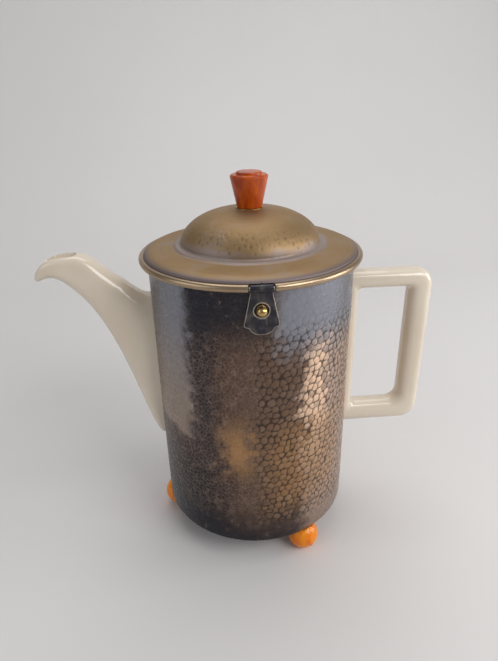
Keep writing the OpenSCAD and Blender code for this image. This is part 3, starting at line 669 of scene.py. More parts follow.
def hammered_finish(s):
    """Tarnished silver plate, worn to gold, painted in soft patches by azimuth and height. Some patches are
    painted light and shade: bright coppery reflections, a pale zone on the left and dark parts low and left
    of the front that are partly painted reflections, partly plate and oxide, and highlights on the marks'
    edges.
    The borders of the patches wander with noise and step from one hammer mark to the next."""
    f = Finish("hammered_plate")
    place = f.place()
    x, y, z = f.parts(place)
    slow = f.noise(place, 40, 3, 0.55) - 0.5
    quick = f.noise(place, 210, 4, 0.65) - 0.5
    fine = f.noise(place, 1100, 3, 0.6) - 0.5
    az = f.azimuth(x, y) + slow * 14 + quick * 12
    share = (z - JACKET_LOW.z) / (JACKET_HIGH.z - JACKET_LOW.z) + slow * 0.06 + quick * 0.035
    groove, tone, reach = f.own("groove"), f.own("tone"), f.own("reach")
    az = az + (tone - 0.5) * reach * 9
    share = share + (tone - 0.5) * reach * 0.035
    # fine rings where the hammer marks are worn down, left of the front and on the back
    rings = 1 - f.cells(place, 430, "DISTANCE_TO_EDGE").ease(0.02, 0.1)
    fine_marks = rings * (1 - az.ease(-8, 6) * (1 - az.ease(84, 110))) * share.ease(0.08, 0.2)
    # plain tones of the wall: brown on the front, grey on the back, light on the right
    low = 1 - share.ease(0.0, 0.2)
    high = share.ease(0.74, 0.92)
    right = az.ease(17, 33) * (1 - az.ease(100, 150))
    left = (1 - az.ease(-41, -36)) * az.ease(-150, -96)
    metal = f.mix(az.ease(-34, 6) * (1 - az.ease(110, 150)), s.deep, s.brown)
    metal = f.mix(slow.ease(-0.02, 0.16) * az.size().ease(95, 120) * 0.75, metal, s.plate)
    metal = f.mix(right, metal, s.light)
    # painted reflections in a bright coppery tone: a streak right of the front and a strip beside the handle;
    # then golden rubs
    metal = f.mix(patch(az, 25, 37, 4) * patch(share, 0.4, 0.84, 0.12), metal, s.copper_reflection)
    metal = f.mix(patch(az, 66, 82, 5) * share.ease(0.2, 0.5) * 0.6, metal, s.copper_reflection)
    metal = f.mix(patch(az, -21, -6, 6) * patch(share, 0.33, 0.5, 0.09) * 0.85, metal, s.gold)
    metal = f.mix(patch(az, 4, 52, 12) * patch(share, 0.16, 0.5, 0.1) * 0.55, metal, s.gold)
    # oxide at the rim; the grey plate on the left above its lower shore, partly a painted reflection of a
    # pale wall; and below it dark oxide, partly a painted reflection of a dark floor
    metal = f.mix(high * (1 - az.ease(0, 14)) * 0.9, metal, s.oxide_and_dark_reflection)
    metal = f.mix(share.ease(0.7, 0.86) * patch(az, 8, 90, 6), metal, s.blue)
    shore = share.ease(0.415, 0.445)
    metal = f.mix(left * shore, metal, f.mix(share.ease(0.46, 0.95), s.plate, s.blue))
    # darker low on the left: dark oxide, partly a painted reflection of a dark floor
    under_left = (1 - share.ease(0.26, 0.46)) * (1 - az.ease(-36, -16)) * az.ease(-150, -100)
    metal = f.mix(under_left * 0.95, metal, f.mix(0.5, s.oxide_and_dark_reflection, s.line))
    # a dark band left of the front: partly tarnish, partly a painted dark reflection
    metal = f.mix(patch(az, -41, -26, 5) * share.ease(0.3, 0.5) * 0.6, metal, s.oxide_and_dark_reflection)
    # darker towards the base: oxide, partly a painted reflection of a dark floor
    metal = f.mix(low * (1 - right * 0.6) * 0.85, metal, s.oxide_and_dark_reflection)
    # the marks themselves: each with its own tone, with dirt in the grooves; on the left the grooves get pale
    # lines instead, painted highlights on the marks' edges
    metal = f.mix((tone - 0.5).ease(0.0, 0.5) * (1 - groove) * reach * 0.22, metal, s.plate)
    lines = (groove * reach).ease(0.2, 0.9)
    glint_lines = patch(az, -90, -8, 7) * (1 - low)
    metal = f.mix(lines * (1 - glint_lines) * 0.85, metal, s.line)
    metal = f.mix(lines.ease(0.3, 1.0) * glint_lines * 0.42, metal, s.light)
    metal = f.mix(fine_marks * (quick + 0.5) * (1 - high * 0.9) * 0.45, metal, s.light)
    metal = f.mix((quick + fine * 0.7).ease(0.08, 0.32) * 0.42, metal, s.plate)
    metal = f.mix((quick * -1 + fine * 0.7).ease(0.08, 0.32) * 0.45, metal, s.line)
    return f.done(
        Base_Color=metal,
        Metallic=0.82 - lines * 0.2,
        Roughness=0.27 + groove * 0.1 + quick * 0.18,
        Normal=f.bump(fine + quick * 0.8 + fine_marks, 0.12 * MM, 0.5),
    )


def glaze_finish(s):
    """Glossy ivory glaze: slow changes of tone, faint orange peel and a few pinholes."""
    f = Finish("ivory_glaze")
    place = f.place()
    slow = f.noise(place, 22, 3, 0.5)
    peel = f.noise(place, 260, 2, 0.5)
    specks = 1 - f.cells(place, 420).ease(0.05, 0.13)
    tone = f.mix(slow.ease(0.35, 0.75) * 0.45, s.glaze, s.shade)
    tone = f.mix(specks * 0.35, tone, s.shade)
    return f.done(
        Base_Color=tone,
        Roughness=0.16 + slow * 0.08 + specks * 0.15,
        Coat_Weight=0.5 + peel * 0.1,
        Coat_Roughness=0.06,
        Normal=f.bump(slow + peel * 0.12, 0.25 * MM, 0.35),
    )


def lid_finish(s):
    """Satin bronze, turned in circles: plate is left in the cove, the band is dark, the dome is marked."""
    f = Finish("satin_brass")
    place = f.place()
    x, y, z = f.parts(place)
    out = (x * x + y * y) ** 0.5
    az = f.azimuth(x, y)
    rings = f.node("ShaderNodeCombineXYZ", {}, {0: out * 900, 1: az * 0.02, 2: z * 300})
    turned_marks = f.noise(rings, 1.0, 3, 0.6)
    slow = f.noise(place, 55, 4, 0.6)
    fine = f.noise(place, 700, 3, 0.6)
    pits = f.own("mark")
    tone = f.mix(slow.ease(0.35, 0.7) * 0.35, s.brass, s.edge)
    cove = patch(out + (slow - 0.5) * 5 * MM, s.dome - 0.6 * MM, s.step + 0.6 * MM, 1.4 * MM)
    edge = patch(out + (slow - 0.5) * 4 * MM, 55.5 * MM, EDGE_RADIUS, 1.5 * MM)
    plated = (cove * 0.8).most(slow.ease(0.52, 0.7) * 0.45).most(edge * 0.22)
    tone = f.mix(plated, tone, s.plating)
    low_edge = LID_LOW.z + s.bead + s.shoulder
    tone = f.mix((1 - z.ease(low_edge - 1.5 * MM, low_edge - 0.4 * MM)) * 0.9, tone, s.band)
    tone = f.mix(pits.ease(0.45, 1.0) * 0.34, tone, s.spots)
    specks = (fine - slow * 0.3).ease(0.46, 0.62) * out.ease(24 * MM, 36 * MM)
    tone = f.mix(specks * 0.3, tone, s.plating)
    tone = f.mix((turned_marks - 0.5).size().ease(0.08, 0.3) * 0.3, tone, s.spots)
    return f.done(
        Base_Color=tone,
        Metallic=0.92 - cove * 0.2,
        Roughness=0.47 + slow * 0.14 + fine * 0.06,
        Normal=f.bump(turned_marks + fine * 0.5, 0.06 * MM, 0.4),
    )


def resin_finish(name, deep, light, scale):
    """Polished cast resin: swirled veins of a lighter tone in a deep one."""
    f = Finish(name)
    place = f.place()
    swirl = f.noise(f.stretch(place, (1.0, 1.0, 0.45)), scale, 5, 0.6, 1.6)
    veins = 1 - (swirl - 0.5).size().ease(0.0, 0.09)
    tone = f.mix((swirl.ease(0.3, 0.7) * 0.8).most(veins * 0.25), deep, light)
    return f.done(
        Base_Color=tone,
        Roughness=0.2 + swirl * 0.12,
        Coat_Weight=0.12 + veins * 0.05,
        Coat_Roughness=0.08,
        Specular_IOR_Level=0.3,
        Normal=f.bump(swirl, 0.05 * MM, 0.25),
    )


def metal_finish(name, tone, dull, roughness):
    """Plain worked metal: fine streaks and slow clouds of a duller tone."""
    f = Finish(name)
    place = f.place()
    streak = f.noise(f.stretch(place, (1.0, 1.0, 6.0)), 500, 3, 0.6)
    cloud = f.noise(place, 160, 4, 0.6)
    shade = f.mix(cloud.ease(0.3, 0.8) * 0.35, tone, dull)
    return f.done(
        Base_Color=shade,
        Metallic=0.95,
        Roughness=roughness + cloud * 0.14,
        Normal=f.bump(streak, 0.03 * MM, 0.35),
    )


def hasp_finish(s):
    """Dark tarnished plate that is rubbed bright along its edges, with a painted highlight in a ring round
    its hole.
    """
    f = Finish("dark_plate")
    place = f.place()
    cloud = f.noise(place, 240, 4, 0.6)
    scratch = f.noise(f.stretch(place, (1.0, 1.0, 0.2)), 1500, 2, 0.6)
    # worn covers the worn outline, and a ring round the hole that paints the highlight of its rim
    worn = (f.own("edge") + (cloud - 0.5) * 0.7).ease(0.45, 0.95)
    tone = f.mix(cloud.ease(0.4, 0.8) * 0.16, s.hasp_dark, s.hasp_worn_and_glint)
    tone = f.mix(worn.most(scratch.ease(0.62, 0.72) * 0.3), tone, s.hasp_worn_and_glint)
    return f.done(
        Base_Color=tone,
        Metallic=0.9,
        Roughness=0.3 + cloud * 0.15,
        Normal=f.bump(scratch, 0.04 * MM, 0.4),
    )


def felt_finish(s):
    """Dense wool felt: tangled fibres in two scales, matt, a little lighter where it stands up."""
    f = Finish("wool_felt")
    place = f.place()
    tangle = f.noise(place, 1400, 5, 0.75, 1.2)
    clump = f.noise(place, 260, 4, 0.6)
    pale = tuple(min(1.0, 1.8 * v + 0.02) for v in s.felt)
    return f.done(
        Base_Color=f.mix(tangle.ease(0.3, 0.75) * 0.6 + clump * 0.2, s.felt, pale),
        Roughness=0.9 + clump * 0.08,
        Sheen_Weight=0.3,
        Normal=f.bump(tangle + clump * 0.5, 0.3 * MM, 0.8),
    )


# ---------------------------------------------------------------------------------------------------------
# Operators


class COFFEEPOT_OT_jacket(Operator):
    """Build the hammered metal jacket"""

    bl_idname = "coffee_pot.jacket"
    bl_label = "Hammered jacket"

    def execute(self, context):
        s, c = context.scene.pot_jacket, context.scene.pot_ceramic
        wall = (JACKET_LOW.z, JACKET_HIGH.z, s.corner, s.step, c.slot_gap, c.bar, c.root_width)
        parts, carried = slotted_can(s.radius, s.sheet, *wall, hammered_wall(s))
        marks = dict(zip(("groove", "tone", "reach"), carried))
        plate = hammered_finish(s)
        make_piece("hammered_jacket", parts, plate, "pot", ["jacket"], 55, marks)
        return {"FINISHED"}


class COFFEEPOT_OT_felt(Operator):
    """Build the felt lining between jacket and pot, and the felt discs under the pot and in the lid"""

    bl_idname = "coffee_pot.felt"
    bl_label = "Felt"

    def execute(self, context):
        s, c = context.scene.pot_trim, context.scene.pot_ceramic
        felt = felt_finish(s)
        wall = (FELT_LOW.z, FELT_HIGH.z, 0, s.felt_step, c.slot_gap, c.bar, c.root_width)
        parts, _ = slotted_can(FELT_HIGH.y, s.felt_sheet, *wall, plain_wall)
        lining = make_piece("wool_lining", parts, felt, "pot", ["lining_felt"])
        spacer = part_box("knob_spacer")[1].x
        discs = (("floor_pad", "floor_felt", "pot", 0), ("lid_pad", "lid_felt", "lid", spacer))
        for name, node, body, hole in discs:
            low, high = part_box(node)
            middle, soft = (low.z + high.z) / 2, (high.z - low.z) * 0.4
            rim = [(high.x, low.z, soft), (high.x, middle, 0), (high.x, high.z, soft)]
            line = rounded_line([(hole, low.z, 0), *rim, (hole, high.z, 0)])
            if hole:
                line = np.concatenate([line, line[:1]])
            pad = make_piece(name, [turned(resampled(line, 3 * MM), 160)], felt, body, [node])
        return {"FINISHED"}


class COFFEEPOT_OT_ceramic(Operator):
    """Build the ceramic spout and handle, and glaze the pot inside"""

    bl_idname = "coffee_pot.ceramic"
    bl_label = "Ceramic pot, spout and handle"

    def execute(self, context):
        s = context.scene.pot_ceramic
        glaze = glaze_finish(s)
        make_piece("ivory_spout", self.spout(s), glaze, "pot", ["spout"], 50)
        make_piece("ivory_handle", self.handle(s), glaze, "pot", ["handle"], 50)
        finish_nodes(glaze, "pot_body", "pot_base")
        return {"FINISHED"}

    def spout(self, s):
        """A drop-shaped section carried along two curves, sunk into the pot's wall at its root. Its mouth
        is a tapered slot in the top, pressed down, and its tip is closed by shrinking rings."""
        steps, sides = 40, 128
        upper, lower = spout_edges(steps, JACKET_HIGH.y)
        t = np.linspace(0, 1, len(upper))[:, None]
        share = smooth_run([(v,) for v in SPOUT_NARROWING], steps)
        width = mix(s.neck_width, s.root_width, share)
        width = mix(width, s.lip_width, np.clip((t - 0.72) / 0.28, 0, 1) ** 2)
        skew = mix(0.5, 0.1, np.minimum(1, 2 * t))
        around = np.linspace(0, 2 * math.pi, sides + 1)[None, :]
        crown = mix(0.7, 0.48, smooth(t, 0.42, 0.62))
        square = mix(0.9, crown, (1 + np.cos(around)) / 2)
        u, across, z = spout_section(upper, lower, width, square, skew, sides)
        seat = np.sqrt((POT_HIGH.y - 2 * MM) ** 2 - across[:1] ** 2)
        back, tip = JACKET_HIGH.y + MOUTH_BACK * SPOUT_REACH, JACKET_HIGH.y + MOUTH_TIP * SPOUT_REACH
        along = np.clip((u - back) / (tip - back), 0, 1)
        room = mix(s.mouth_radius, MOUTH_TIP_RADIUS, along) - np.hypot(u - mix(back, tip, along), across)
        sink = smooth(room, 0, 0.8 * MM) * smooth(np.cos(around) + 0 * t, 0.05, 0.3)
        z = z - sink * np.minimum(MOUTH_DEPTH, 0.62 * (upper[:, 1:] - lower[:, 1:]))
        u, across, z = np.vstack([seat, u]), np.vstack([across[:1], across]), np.vstack([z[:1], z])
        shrink = np.array([0.86, 0.5, 0.0])[:, None]
        ends = [a[-1:].mean() + (a[-1:] - a[-1:].mean()) * shrink for a in (u, across, z)]
        out = 0.7 * MM * np.array([0.6, 1.0, 1.0])[:, None]
        u, across, z = np.vstack([u, ends[0] + out]), np.vstack([across, ends[1]]), np.vstack([z, ends[2]])
        return [(np.stack([-u, across, z], -1), grid_faces(*u.shape))]

    def handle(self, s):
        """A squarish section between an outer and an inner rounded box, carried round the grip."""
        left = POT_HIGH.y - 1.2 * MM
        low, high, right = HANDLE_LOW.z, HANDLE_HIGH.z, HANDLE_HIGH.x
        steps = 10

        def box(right, left, top, low, radii):
            start = np.radians([90, 0, 270, 180])
            signs = np.array([(1, 1), (1, -1), (-1, -1), (-1, 1)])
            corners = np.array([(right, top), (right, low), (left, low), (left, top)])
            r = np.array(radii)[:, None]
            a = start[:, None] - np.radians(90) * np.linspace(0, 1, steps + 1)
            x = corners[:, :1] - signs[:, :1] * r + r * np.cos(a)
            z = corners[:, 1:] - signs[:, 1:] * r + r * np.sin(a)
            line = np.stack([x.ravel(), z.ravel()], -1)
            return np.concatenate([line, line[:1]])

        outer = box(right, left, high, low, (s.corner, s.corner, 1 * MM, 1 * MM))
        radii = (TIGHT_CORNER, GRIP_CORNER, TIGHT_CORNER, TIGHT_CORNER)
        gap_right, gap_left = right - GRIP_DEPTH, JACKET_HIGH.y + s.rib
        inner = box(gap_right, gap_left, high - s.top_bar, low + GRIP_DEPTH, radii)
        u, across, z = spout_section(outer, inner, np.full((len(outer), 1), s.bar), 0.76, 0.0, 64)
        return [(np.stack([u, across, z], -1), grid_faces(*u.shape, None, True))]


class COFFEEPOT_OT_lid(Operator):
    """Build the lid's sheet with its dome, ring and band, and the rolled edge round it"""

    bl_idname = "coffee_pot.lid"
    bl_label = "Lid and rolled edge"

    def execute(self, context):
        s = context.scene.pot_lid
        satin = lid_finish(s)
        parts, marks = self.sheet(s)
        make_piece("domed_lid", parts, satin, "lid", ["lid_shell"], 35, {"mark": marks})
        edge = metal_finish("rolled_brass", s.edge, s.brass, 0.24)
        make_piece("rolled_edge", self.bead(s), edge, "lid")
        finish_nodes(satin, "lid_knuckles")
        return {"FINISHED"}

    def sheet(self, s):
        """The sheet's outside and inside as turned lines, with flat hammer marks low on the dome. The dome
        rises as (1 - (r / R)^2.5)^(1 / 1.7). Two openings in the band leave room for hasp and hinge."""
        bead_z = LID_LOW.z + s.bead
        shoulder = bead_z + s.shoulder
        ring, top = shoulder + 1.3 * MM, shoulder + 2.1 * MM
        dome = top + 0.9 * MM
        a = np.linspace(0, math.pi / 2, 46)
        r = mix(s.seat, s.dome, np.sin(a))
        rise = np.clip(1 - (r / s.dome) ** 2.5, 0, 1) ** (1 / 1.7)
        height = dome + (KNOB_LOW.z - 0.4 * MM - dome) * rise / rise[0]
        band, notch_top = BAND_RADIUS, bead_z + 2.05 * MM
        rim = [
            (s.dome, dome, 0), (s.dome + 0.7 * MM, top, 0.6 * MM), (s.step - 0.6 * MM, top, 0.3 * MM),
            (s.step, ring + 0.3 * MM, 0.3 * MM), (s.step + 0.8 * MM, ring, 0.3 * MM),
            (band - 4 * MM, shoulder + 0.2 * MM, 2.4 * MM),
            (band - 0.8 * MM, shoulder - 1.2 * MM, 1.6 * MM),
            (band, notch_top, 0), (band, bead_z + 0.5 * MM, 0),
        ]  # fmt: skip
        outside = np.concatenate([[(0, height[0])], np.stack([r, height], -1)[:-1], rounded_line(rim, 6)])
        outside = resampled(outside, 0.8 * MM)
        inside = outside - np.array([s.sheet, s.sheet])
        inside[:, 1] = np.where(outside[:, 0] > band - 0.1 * MM, outside[:, 1], inside[:, 1])
        inside[:, 0] = np.maximum(inside[:, 0], 0)
        columns = 540
        points, _ = turned(outside, columns)
        inner, _ = turned(inside, columns)
        az = np.linspace(0, 360, columns + 1)[None, :]
        out = outside[:, :1]
        near, _, _ = hammer_marks(az + 0 * out, out + 0 * az, 34 * MM, 2.7 * MM, 2.5 * MM, s.seed)
        reach = smooth(out, 25 * MM, 35 * MM) * (1 - smooth(out, 37.8 * MM, s.dome + 0.4 * MM))
        reach = reach * mix(0.25, 1, 1 - smooth(points[..., 1], -26 * MM, 4 * MM))
        mark = (1 - smooth(near, 0.2 * MM, 1.1 * MM)) * reach
        points[..., 2] -= 0.2 * MM * mark
        middle = (az[:, :-1] + az[:, 1:]) / 2
        turn = np.abs((middle + 180) % 360 - 180)
        in_notch = (turn < HASP_NOTCH) | (turn > 180 - HINGE_NOTCH)
        row_low = np.maximum(outside[:-1, 1:], outside[1:, 1:]) < notch_top + 1e-7
        on_band = outside[:-1, :1] > band - 0.1 * MM
        keep = ~(in_notch & row_low & on_band)
        faces = grid_faces(*points.shape[:2], keep, True)
        parts = [(points, faces), (inner, grid_faces(*inner.shape[:2], keep, False))]
        lips = [(az[0], outside[-1, 1], ~in_notch.ravel())]
        for middle_az, half in ((0, HASP_NOTCH), (180, HINGE_NOTCH)):
            lips.append((np.linspace(middle_az - half, middle_az + half, 25), notch_top, np.ones(24, bool)))
        for line_az, line_z, stay in lips:
            wall = on_wall(np.stack([line_az] * 2), line_z, np.array([[band], [band - s.sheet]]))
            parts.append((wall, grid_faces(2, len(line_az), stay[None, :], True)))
        marks = [mark.ravel()] + [np.zeros(p[0][..., 0].size) for p in parts[1:]]
        return parts, np.concatenate(marks)

    def bead(self, s):
        """A round bar bent round the lid in two arcs, open for hasp and hinge, with rounded ends."""
        parts = []
        first, last = HASP_NOTCH, 180 - EDGE_HINGE_GAP
        for start, end in ((first, last), (360 - last, 360 - first)):
            ends = np.array([0.0, 0.15, 0.5, 1.0])
            between = np.linspace(start + 1, end - 1, 220)[1:-1]
            az = np.concatenate([start + ends, between, end - ends[::-1]])
            fat = np.ones(len(az))
            fat[:3], fat[-3:] = (0.0, 0.72, 0.96), (0.96, 0.72, 0.0)
            t = np.linspace(0, 2 * math.pi, 25)[:, None]
            r = EDGE_RADIUS + s.bead * fat * np.cos(t)
            z = LID_LOW.z + s.bead + s.bead * fat * np.sin(t)
            parts.append((on_wall(az[None, :] + 0 * t, z, r), grid_faces(*r.shape)))
        return parts


class COFFEEPOT_OT_knob(Operator):
    """Build the flared resin knob with the disc on its top"""

    bl_idname = "coffee_pot.knob"
    bl_label = "Knob"

    def execute(self, context):
        s = context.scene.pot_trim
        line = rounded_line([(r * MM, KNOB_LOW.z + z * MM, corner * MM) for r, z, corner in KNOB_LINE])
        resin = resin_finish("amber_resin", s.knob_deep, s.knob_light, 90)
        knob = turned(resampled(line, 1 * MM), 144)
        make_piece("flared_knob", [knob], resin, "lid", ["knob"], 32)
        return {"FINISHED"}


class COFFEEPOT_OT_feet(Operator):
    """Build the three ball feet, each with a flat sole and a seat for the jacket's corner"""

    bl_idname = "coffee_pot.feet"
    bl_label = "Ball feet"

    def execute(self, context):
        s, j = context.scene.pot_trim, context.scene.pot_jacket
        resin = resin_finish("amber_feet", s.foot_deep, s.foot_light, 120)
        tilt = np.linspace(-math.pi / 2, math.pi / 2, 61)
        middle = math.sqrt(FOOT_BALL**2 - FOOT_SOLE**2)
        line = np.maximum(np.stack([FOOT_BALL * np.cos(tilt), middle + FOOT_BALL * np.sin(tilt)], -1), 0)
        for i, turn in enumerate(FOOT_TURNS):
            points, faces = turned(line, 96)
            points[..., 0] += FOOT_RING * math.cos(math.radians(turn))
            points[..., 1] += FOOT_RING * math.sin(math.radians(turn))
            under = np.hypot(points[..., 0], points[..., 1]) < j.radius
            points[..., 2] = np.where(under, np.minimum(points[..., 2], JACKET_LOW.z), points[..., 2])
            name, node = f"ball_foot_{i + 1}", f"foot_{i + 1}"
            make_piece(name, [(points, faces)], resin, "pot", [node], 50)
        return {"FINISHED"}


class COFFEEPOT_OT_fastenings(Operator):
    """Build the ball stud and the hasp, and finish the pins, screws, rivets, washers and plates"""

    bl_idname = "coffee_pot.fastenings"
    bl_label = "Hasp, stud and small metal parts"

    def execute(self, context):
        s = context.scene.pot_trim
        brass = metal_finish("polished_brass", s.brass, tuple(v * 0.6 for v in s.brass), 0.16)
        steel = metal_finish("turned_steel", s.steel, tuple(v * 0.55 for v in s.steel), 0.28)
        plate = metal_finish("plated_sheet", tuple(v * 0.8 for v in s.steel), s.hasp_dark, 0.34)
        make_piece("ball_headed_stud", self.stud(s), brass, "pot", ["ball_stud"], 40)
        parts, edge = self.hasp(s)
        dark = hasp_finish(s)
        make_piece("swinging_hasp", parts, dark, "hasp", ["hasp"], 30, {"edge": edge})
        finish_nodes(brass, "knob_washer", "stud_washer", "knob_spacer")
        finish_nodes(steel, "hinge_pin", "hasp_pin", "hinge_rivets", "foot_screws", "knob_screw")
        finish_nodes(steel, "rim_wire")
        finish_nodes(plate, "hinge_strap", "lid_plate")
        return {"FINISHED"}

    def stud(self, s):
        """Shank, collar, neck and ball, turned about a line along -Y."""
        middle = -STUD_LOW.y - s.ball
        a = np.linspace(-math.pi / 2 + 0.66, math.pi / 2, 24)
        ball = np.stack([s.ball * np.cos(a), middle + s.ball * np.sin(a)], -1)
        wall = JACKET_HIGH.y
        foot = rounded_line(
            [
                (0, -STUD_HIGH.y, 0), (1.5 * MM, -STUD_HIGH.y, 0.2 * MM), (1.5 * MM, wall - 0.4 * MM, 0),
                (2.3 * MM, wall - 0.3 * MM, 0), (2.3 * MM, wall + 0.2 * MM, 0.2 * MM),
                (1.6 * MM, wall + 0.5 * MM, 0.2 * MM), (1.6 * MM, ball[0, 1] - 0.1 * MM, 0),
            ]
        )  # fmt: skip
        line = resampled(np.concatenate([foot, ball]), 0.5 * MM)
        line[-1, 0] = 0
        points, faces = turned(line, 48)
        z = (STUD_LOW.z + STUD_HIGH.z) / 2
        placed = np.stack([points[..., 0], -points[..., 2], z + points[..., 1]], -1)
        return [(placed, faces[:, ::-1] if self.inward(placed, faces) else faces)]

    def inward(self, points, faces):
        """Whether a closed form is inside out: the volumes between its faces and the origin add up to
        less than nothing."""
        corner = points.reshape(-1, 3)[faces]
        first, second = np.cross(corner[:, 1], corner[:, 2]), np.cross(corner[:, 2], corner[:, 3])
        return (corner[:, 0] * (first + second)).sum() < 0

    def hasp(self, s):
        """A plate round a hole: each ray from the hole's centre runs from the hole's edge to the outline
        and back behind it. The knuckle is a short turned bar across the top."""
        pin = HASP_HIGH.z - KNUCKLE_RADIUS
        right = [(x, z, 0.8) for x, z in HASP_OUTLINE]
        left = [(-x, z, 0.8) for x, z in HASP_OUTLINE[::-1]]
        line = rounded_line([(0, HASP_TOP, 0), *right, (0, HASP_TIP, 1.5), *left, (0, HASP_TOP, 0)], 6)
        line = resampled(line, 0.35) * MM
        centre = np.array([0, HASP_HOLE]) * MM
        ray = line - centre
        reach = np.linalg.norm(ray, axis=1)[None, :]
        ray = ray[None] / reach[..., None]
        bevel, face, back = 0.18 * MM, HASP_FACE, HASP_BACK
        hole = s.hasp_hole + 0 * reach
        rows = [
            (hole, back), (hole, face - bevel), (hole + bevel, face), (hole + 0.6 * MM, face),
            *[(mix(hole + 0.6 * MM, reach - 0.9 * MM, t), face) for t in (0.25, 0.5, 0.75, 1.0)],
            (reach - bevel, face), (reach, face - bevel), (reach, back), (hole, back),
        ]  # fmt: skip
        out = np.concatenate([row[0] for row in rows])
        depth = np.array([row[1] for row in rows])[:, None] + 0 * out
        x = ray[..., 0] * out
        z = pin + centre[1] + ray[..., 1] * out
        plate = np.stack([x, -depth, z], -1)
        # edge is 1 round the hole, for a painted highlight on its rim, and along the outline, for the worn
        # edge
        edge = np.maximum(1.25 - (out - s.hasp_hole) / (1.1 * MM), 1 - (reach - out) / (1.1 * MM))
        faces = grid_faces(*out.shape)
        faces = faces[:, ::-1] if self.inward(plate - plate.reshape(-1, 3).mean(0), faces) else faces
        bar = [(KNUCKLE_RADIUS, -KNUCKLE_HALF, 0.25 * MM), (KNUCKLE_RADIUS, KNUCKLE_HALF, 0.25 * MM)]
        bar = rounded_line([(0, -KNUCKLE_HALF, 0), *bar, (0, KNUCKLE_HALF, 0)], 4)
        knuckle, bar_faces = turned(bar, 32)
        knuckle = np.stack([knuckle[..., 2], knuckle[..., 0] - PIN_RADIUS, knuckle[..., 1] + pin], -1)
        around = knuckle - knuckle.reshape(-1, 3).mean(0)
        bar_faces = bar_faces[:, ::-1] if self.inward(around, bar_faces) else bar_faces
        ends = np.concatenate([np.clip(edge, 0, 1).ravel(), np.full(knuckle[..., 0].size, 0.45)])
        return [(plate, faces), (knuckle, bar_faces)], ends


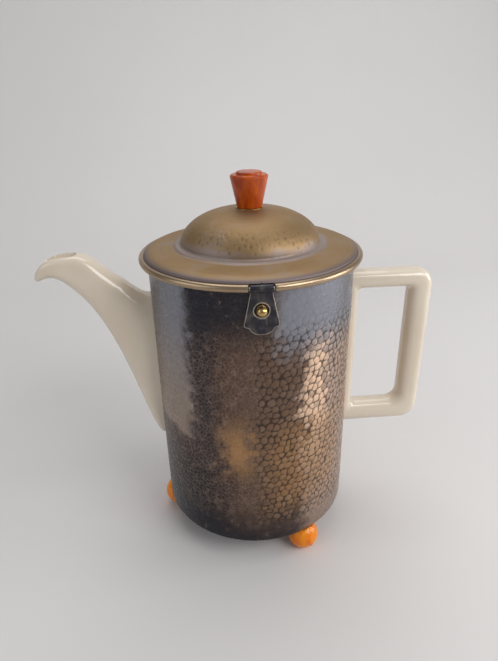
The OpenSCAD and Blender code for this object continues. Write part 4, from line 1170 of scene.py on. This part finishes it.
class COFFEEPOT_OT_stage(Operator):
    """Set the camera, the soft studio lights and the pale floor that curves up into a backdrop"""

    bl_idname = "coffee_pot.stage"
    bl_label = "Stage"

    def execute(self, context):
        s = context.scene.pot_stage
        self.camera(s)
        self.floor(s)
        for name, place, size, power in LIGHTS:
            lamp = bpy.data.lights.new(name, "AREA")
            lamp.size, lamp.energy = size, power
            light = bpy.data.objects.new(name, lamp)
            light.location = place
            aim = Vector(LIGHT_AIM) - Vector(place)
            light.rotation_euler = aim.to_track_quat("-Z", "Y").to_euler()
            bpy.context.scene.collection.objects.link(light)
        world = bpy.data.worlds.new("studio")
        world.use_nodes = True
        sky = world.node_tree.nodes["Background"]
        sky.inputs["Color"].default_value, sky.inputs["Strength"].default_value = SKY_COLOUR, SKY_STRENGTH
        context.scene.world = world
        context.scene.view_settings.view_transform = "Standard"
        return {"FINISHED"}

    def camera(self, s):
        """A camera turned by its swing, pitch and roll, then carried round the axis by its heading."""
        lens = bpy.data.cameras.new("camera")
        lens.lens, lens.sensor_width = s.lens, 36
        lens.clip_start, lens.clip_end = 0.01, 20
        camera = bpy.data.objects.new("camera", lens)
        level = math.cos(s.pitch)
        ahead = Vector((math.sin(s.swing) * level, math.cos(s.swing) * level, -math.sin(s.pitch)))
        right = Vector((math.cos(s.swing), -math.sin(s.swing), 0))
        up = right.cross(ahead)
        across = math.cos(s.roll) * right + math.sin(s.roll) * up
        upright = -math.sin(s.roll) * right + math.cos(s.roll) * up
        axes = Matrix((across, upright, -ahead)).transposed().to_4x4()
        place = Matrix.Translation((0, -s.distance, s.height + JACKET_LOW.z))
        camera.matrix_world = Matrix.Rotation(s.heading, 4, "Z") @ place @ axes
        bpy.context.scene.collection.objects.link(camera)
        bpy.context.scene.camera = camera

    def floor(self, s):
        """A floor that curves up into a backdrop: straight, a quarter circle, straight."""
        a = np.linspace(0, math.pi / 2, 25)
        bend = BEND_START + BEND_RADIUS * np.sin(a)
        y = np.concatenate([[FLOOR_FRONT], bend, bend[-1:]])
        z = np.concatenate([[0], BEND_RADIUS - BEND_RADIUS * np.cos(a), [BACKDROP]])
        x = np.array([[-FLOOR_HALF], [FLOOR_HALF]])
        points = np.stack([x + 0 * y, y + 0 * x, z + 0 * x], -1).reshape(-1, 3)
        mesh = bpy.data.meshes.new("floor")
        mesh.from_pydata(points.tolist(), [], grid_faces(2, len(y), None, True).tolist())
        mesh.polygons.foreach_set("use_smooth", np.ones(len(mesh.polygons), bool))
        f = Finish("pale_floor")
        cloud = f.noise(f.place(), 3, 3, 0.5)
        darker = tuple(v * 0.94 for v in s.floor)
        mesh.materials.append(f.done(Base_Color=f.mix(cloud, s.floor, darker), Roughness=0.6 + cloud * 0.1))
        floor = bpy.data.objects.new("floor", mesh)
        bpy.context.scene.collection.objects.link(floor)


PIECES = (
    COFFEEPOT_OT_stage, COFFEEPOT_OT_jacket, COFFEEPOT_OT_felt, COFFEEPOT_OT_ceramic, COFFEEPOT_OT_lid,
    COFFEEPOT_OT_knob, COFFEEPOT_OT_feet, COFFEEPOT_OT_fastenings,
)  # fmt: skip
SETTINGS = {
    "pot_jacket": JacketSettings,
    "pot_ceramic": CeramicSettings,
    "pot_lid": LidSettings,
    "pot_trim": TrimSettings,
    "pot_stage": StageSettings,
}


class COFFEEPOT_PT_pieces(Panel):
    """Lists the pot's pieces and their sizes and colours"""

    bl_label = "Coffee Pot"
    bl_space_type = "VIEW_3D"
    bl_region_type = "UI"
    bl_category = "Coffee Pot"

    def draw(self, context):
        for piece in PIECES:
            self.layout.operator(piece.bl_idname)
        for key, group in SETTINGS.items():
            box = self.layout.box()
            for name in group.__annotations__:
                box.prop(getattr(context.scene, key), name)


def register():
    for made in (*SETTINGS.values(), *PIECES, COFFEEPOT_PT_pieces):
        bpy.utils.register_class(made)
    for key, group in SETTINGS.items():
        setattr(bpy.types.Scene, key, PointerProperty(type=group))


def unregister():
    for key in SETTINGS:
        delattr(bpy.types.Scene, key)
    for made in (COFFEEPOT_PT_pieces, *reversed(PIECES), *reversed(SETTINGS.values())):
        bpy.utils.unregister_class(made)


def main():
    register()
    for piece in PIECES:
        group, name = piece.bl_idname.split(".")
        getattr(getattr(bpy.ops, group), name)()
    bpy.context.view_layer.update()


if __name__ == "__main__":
    main()
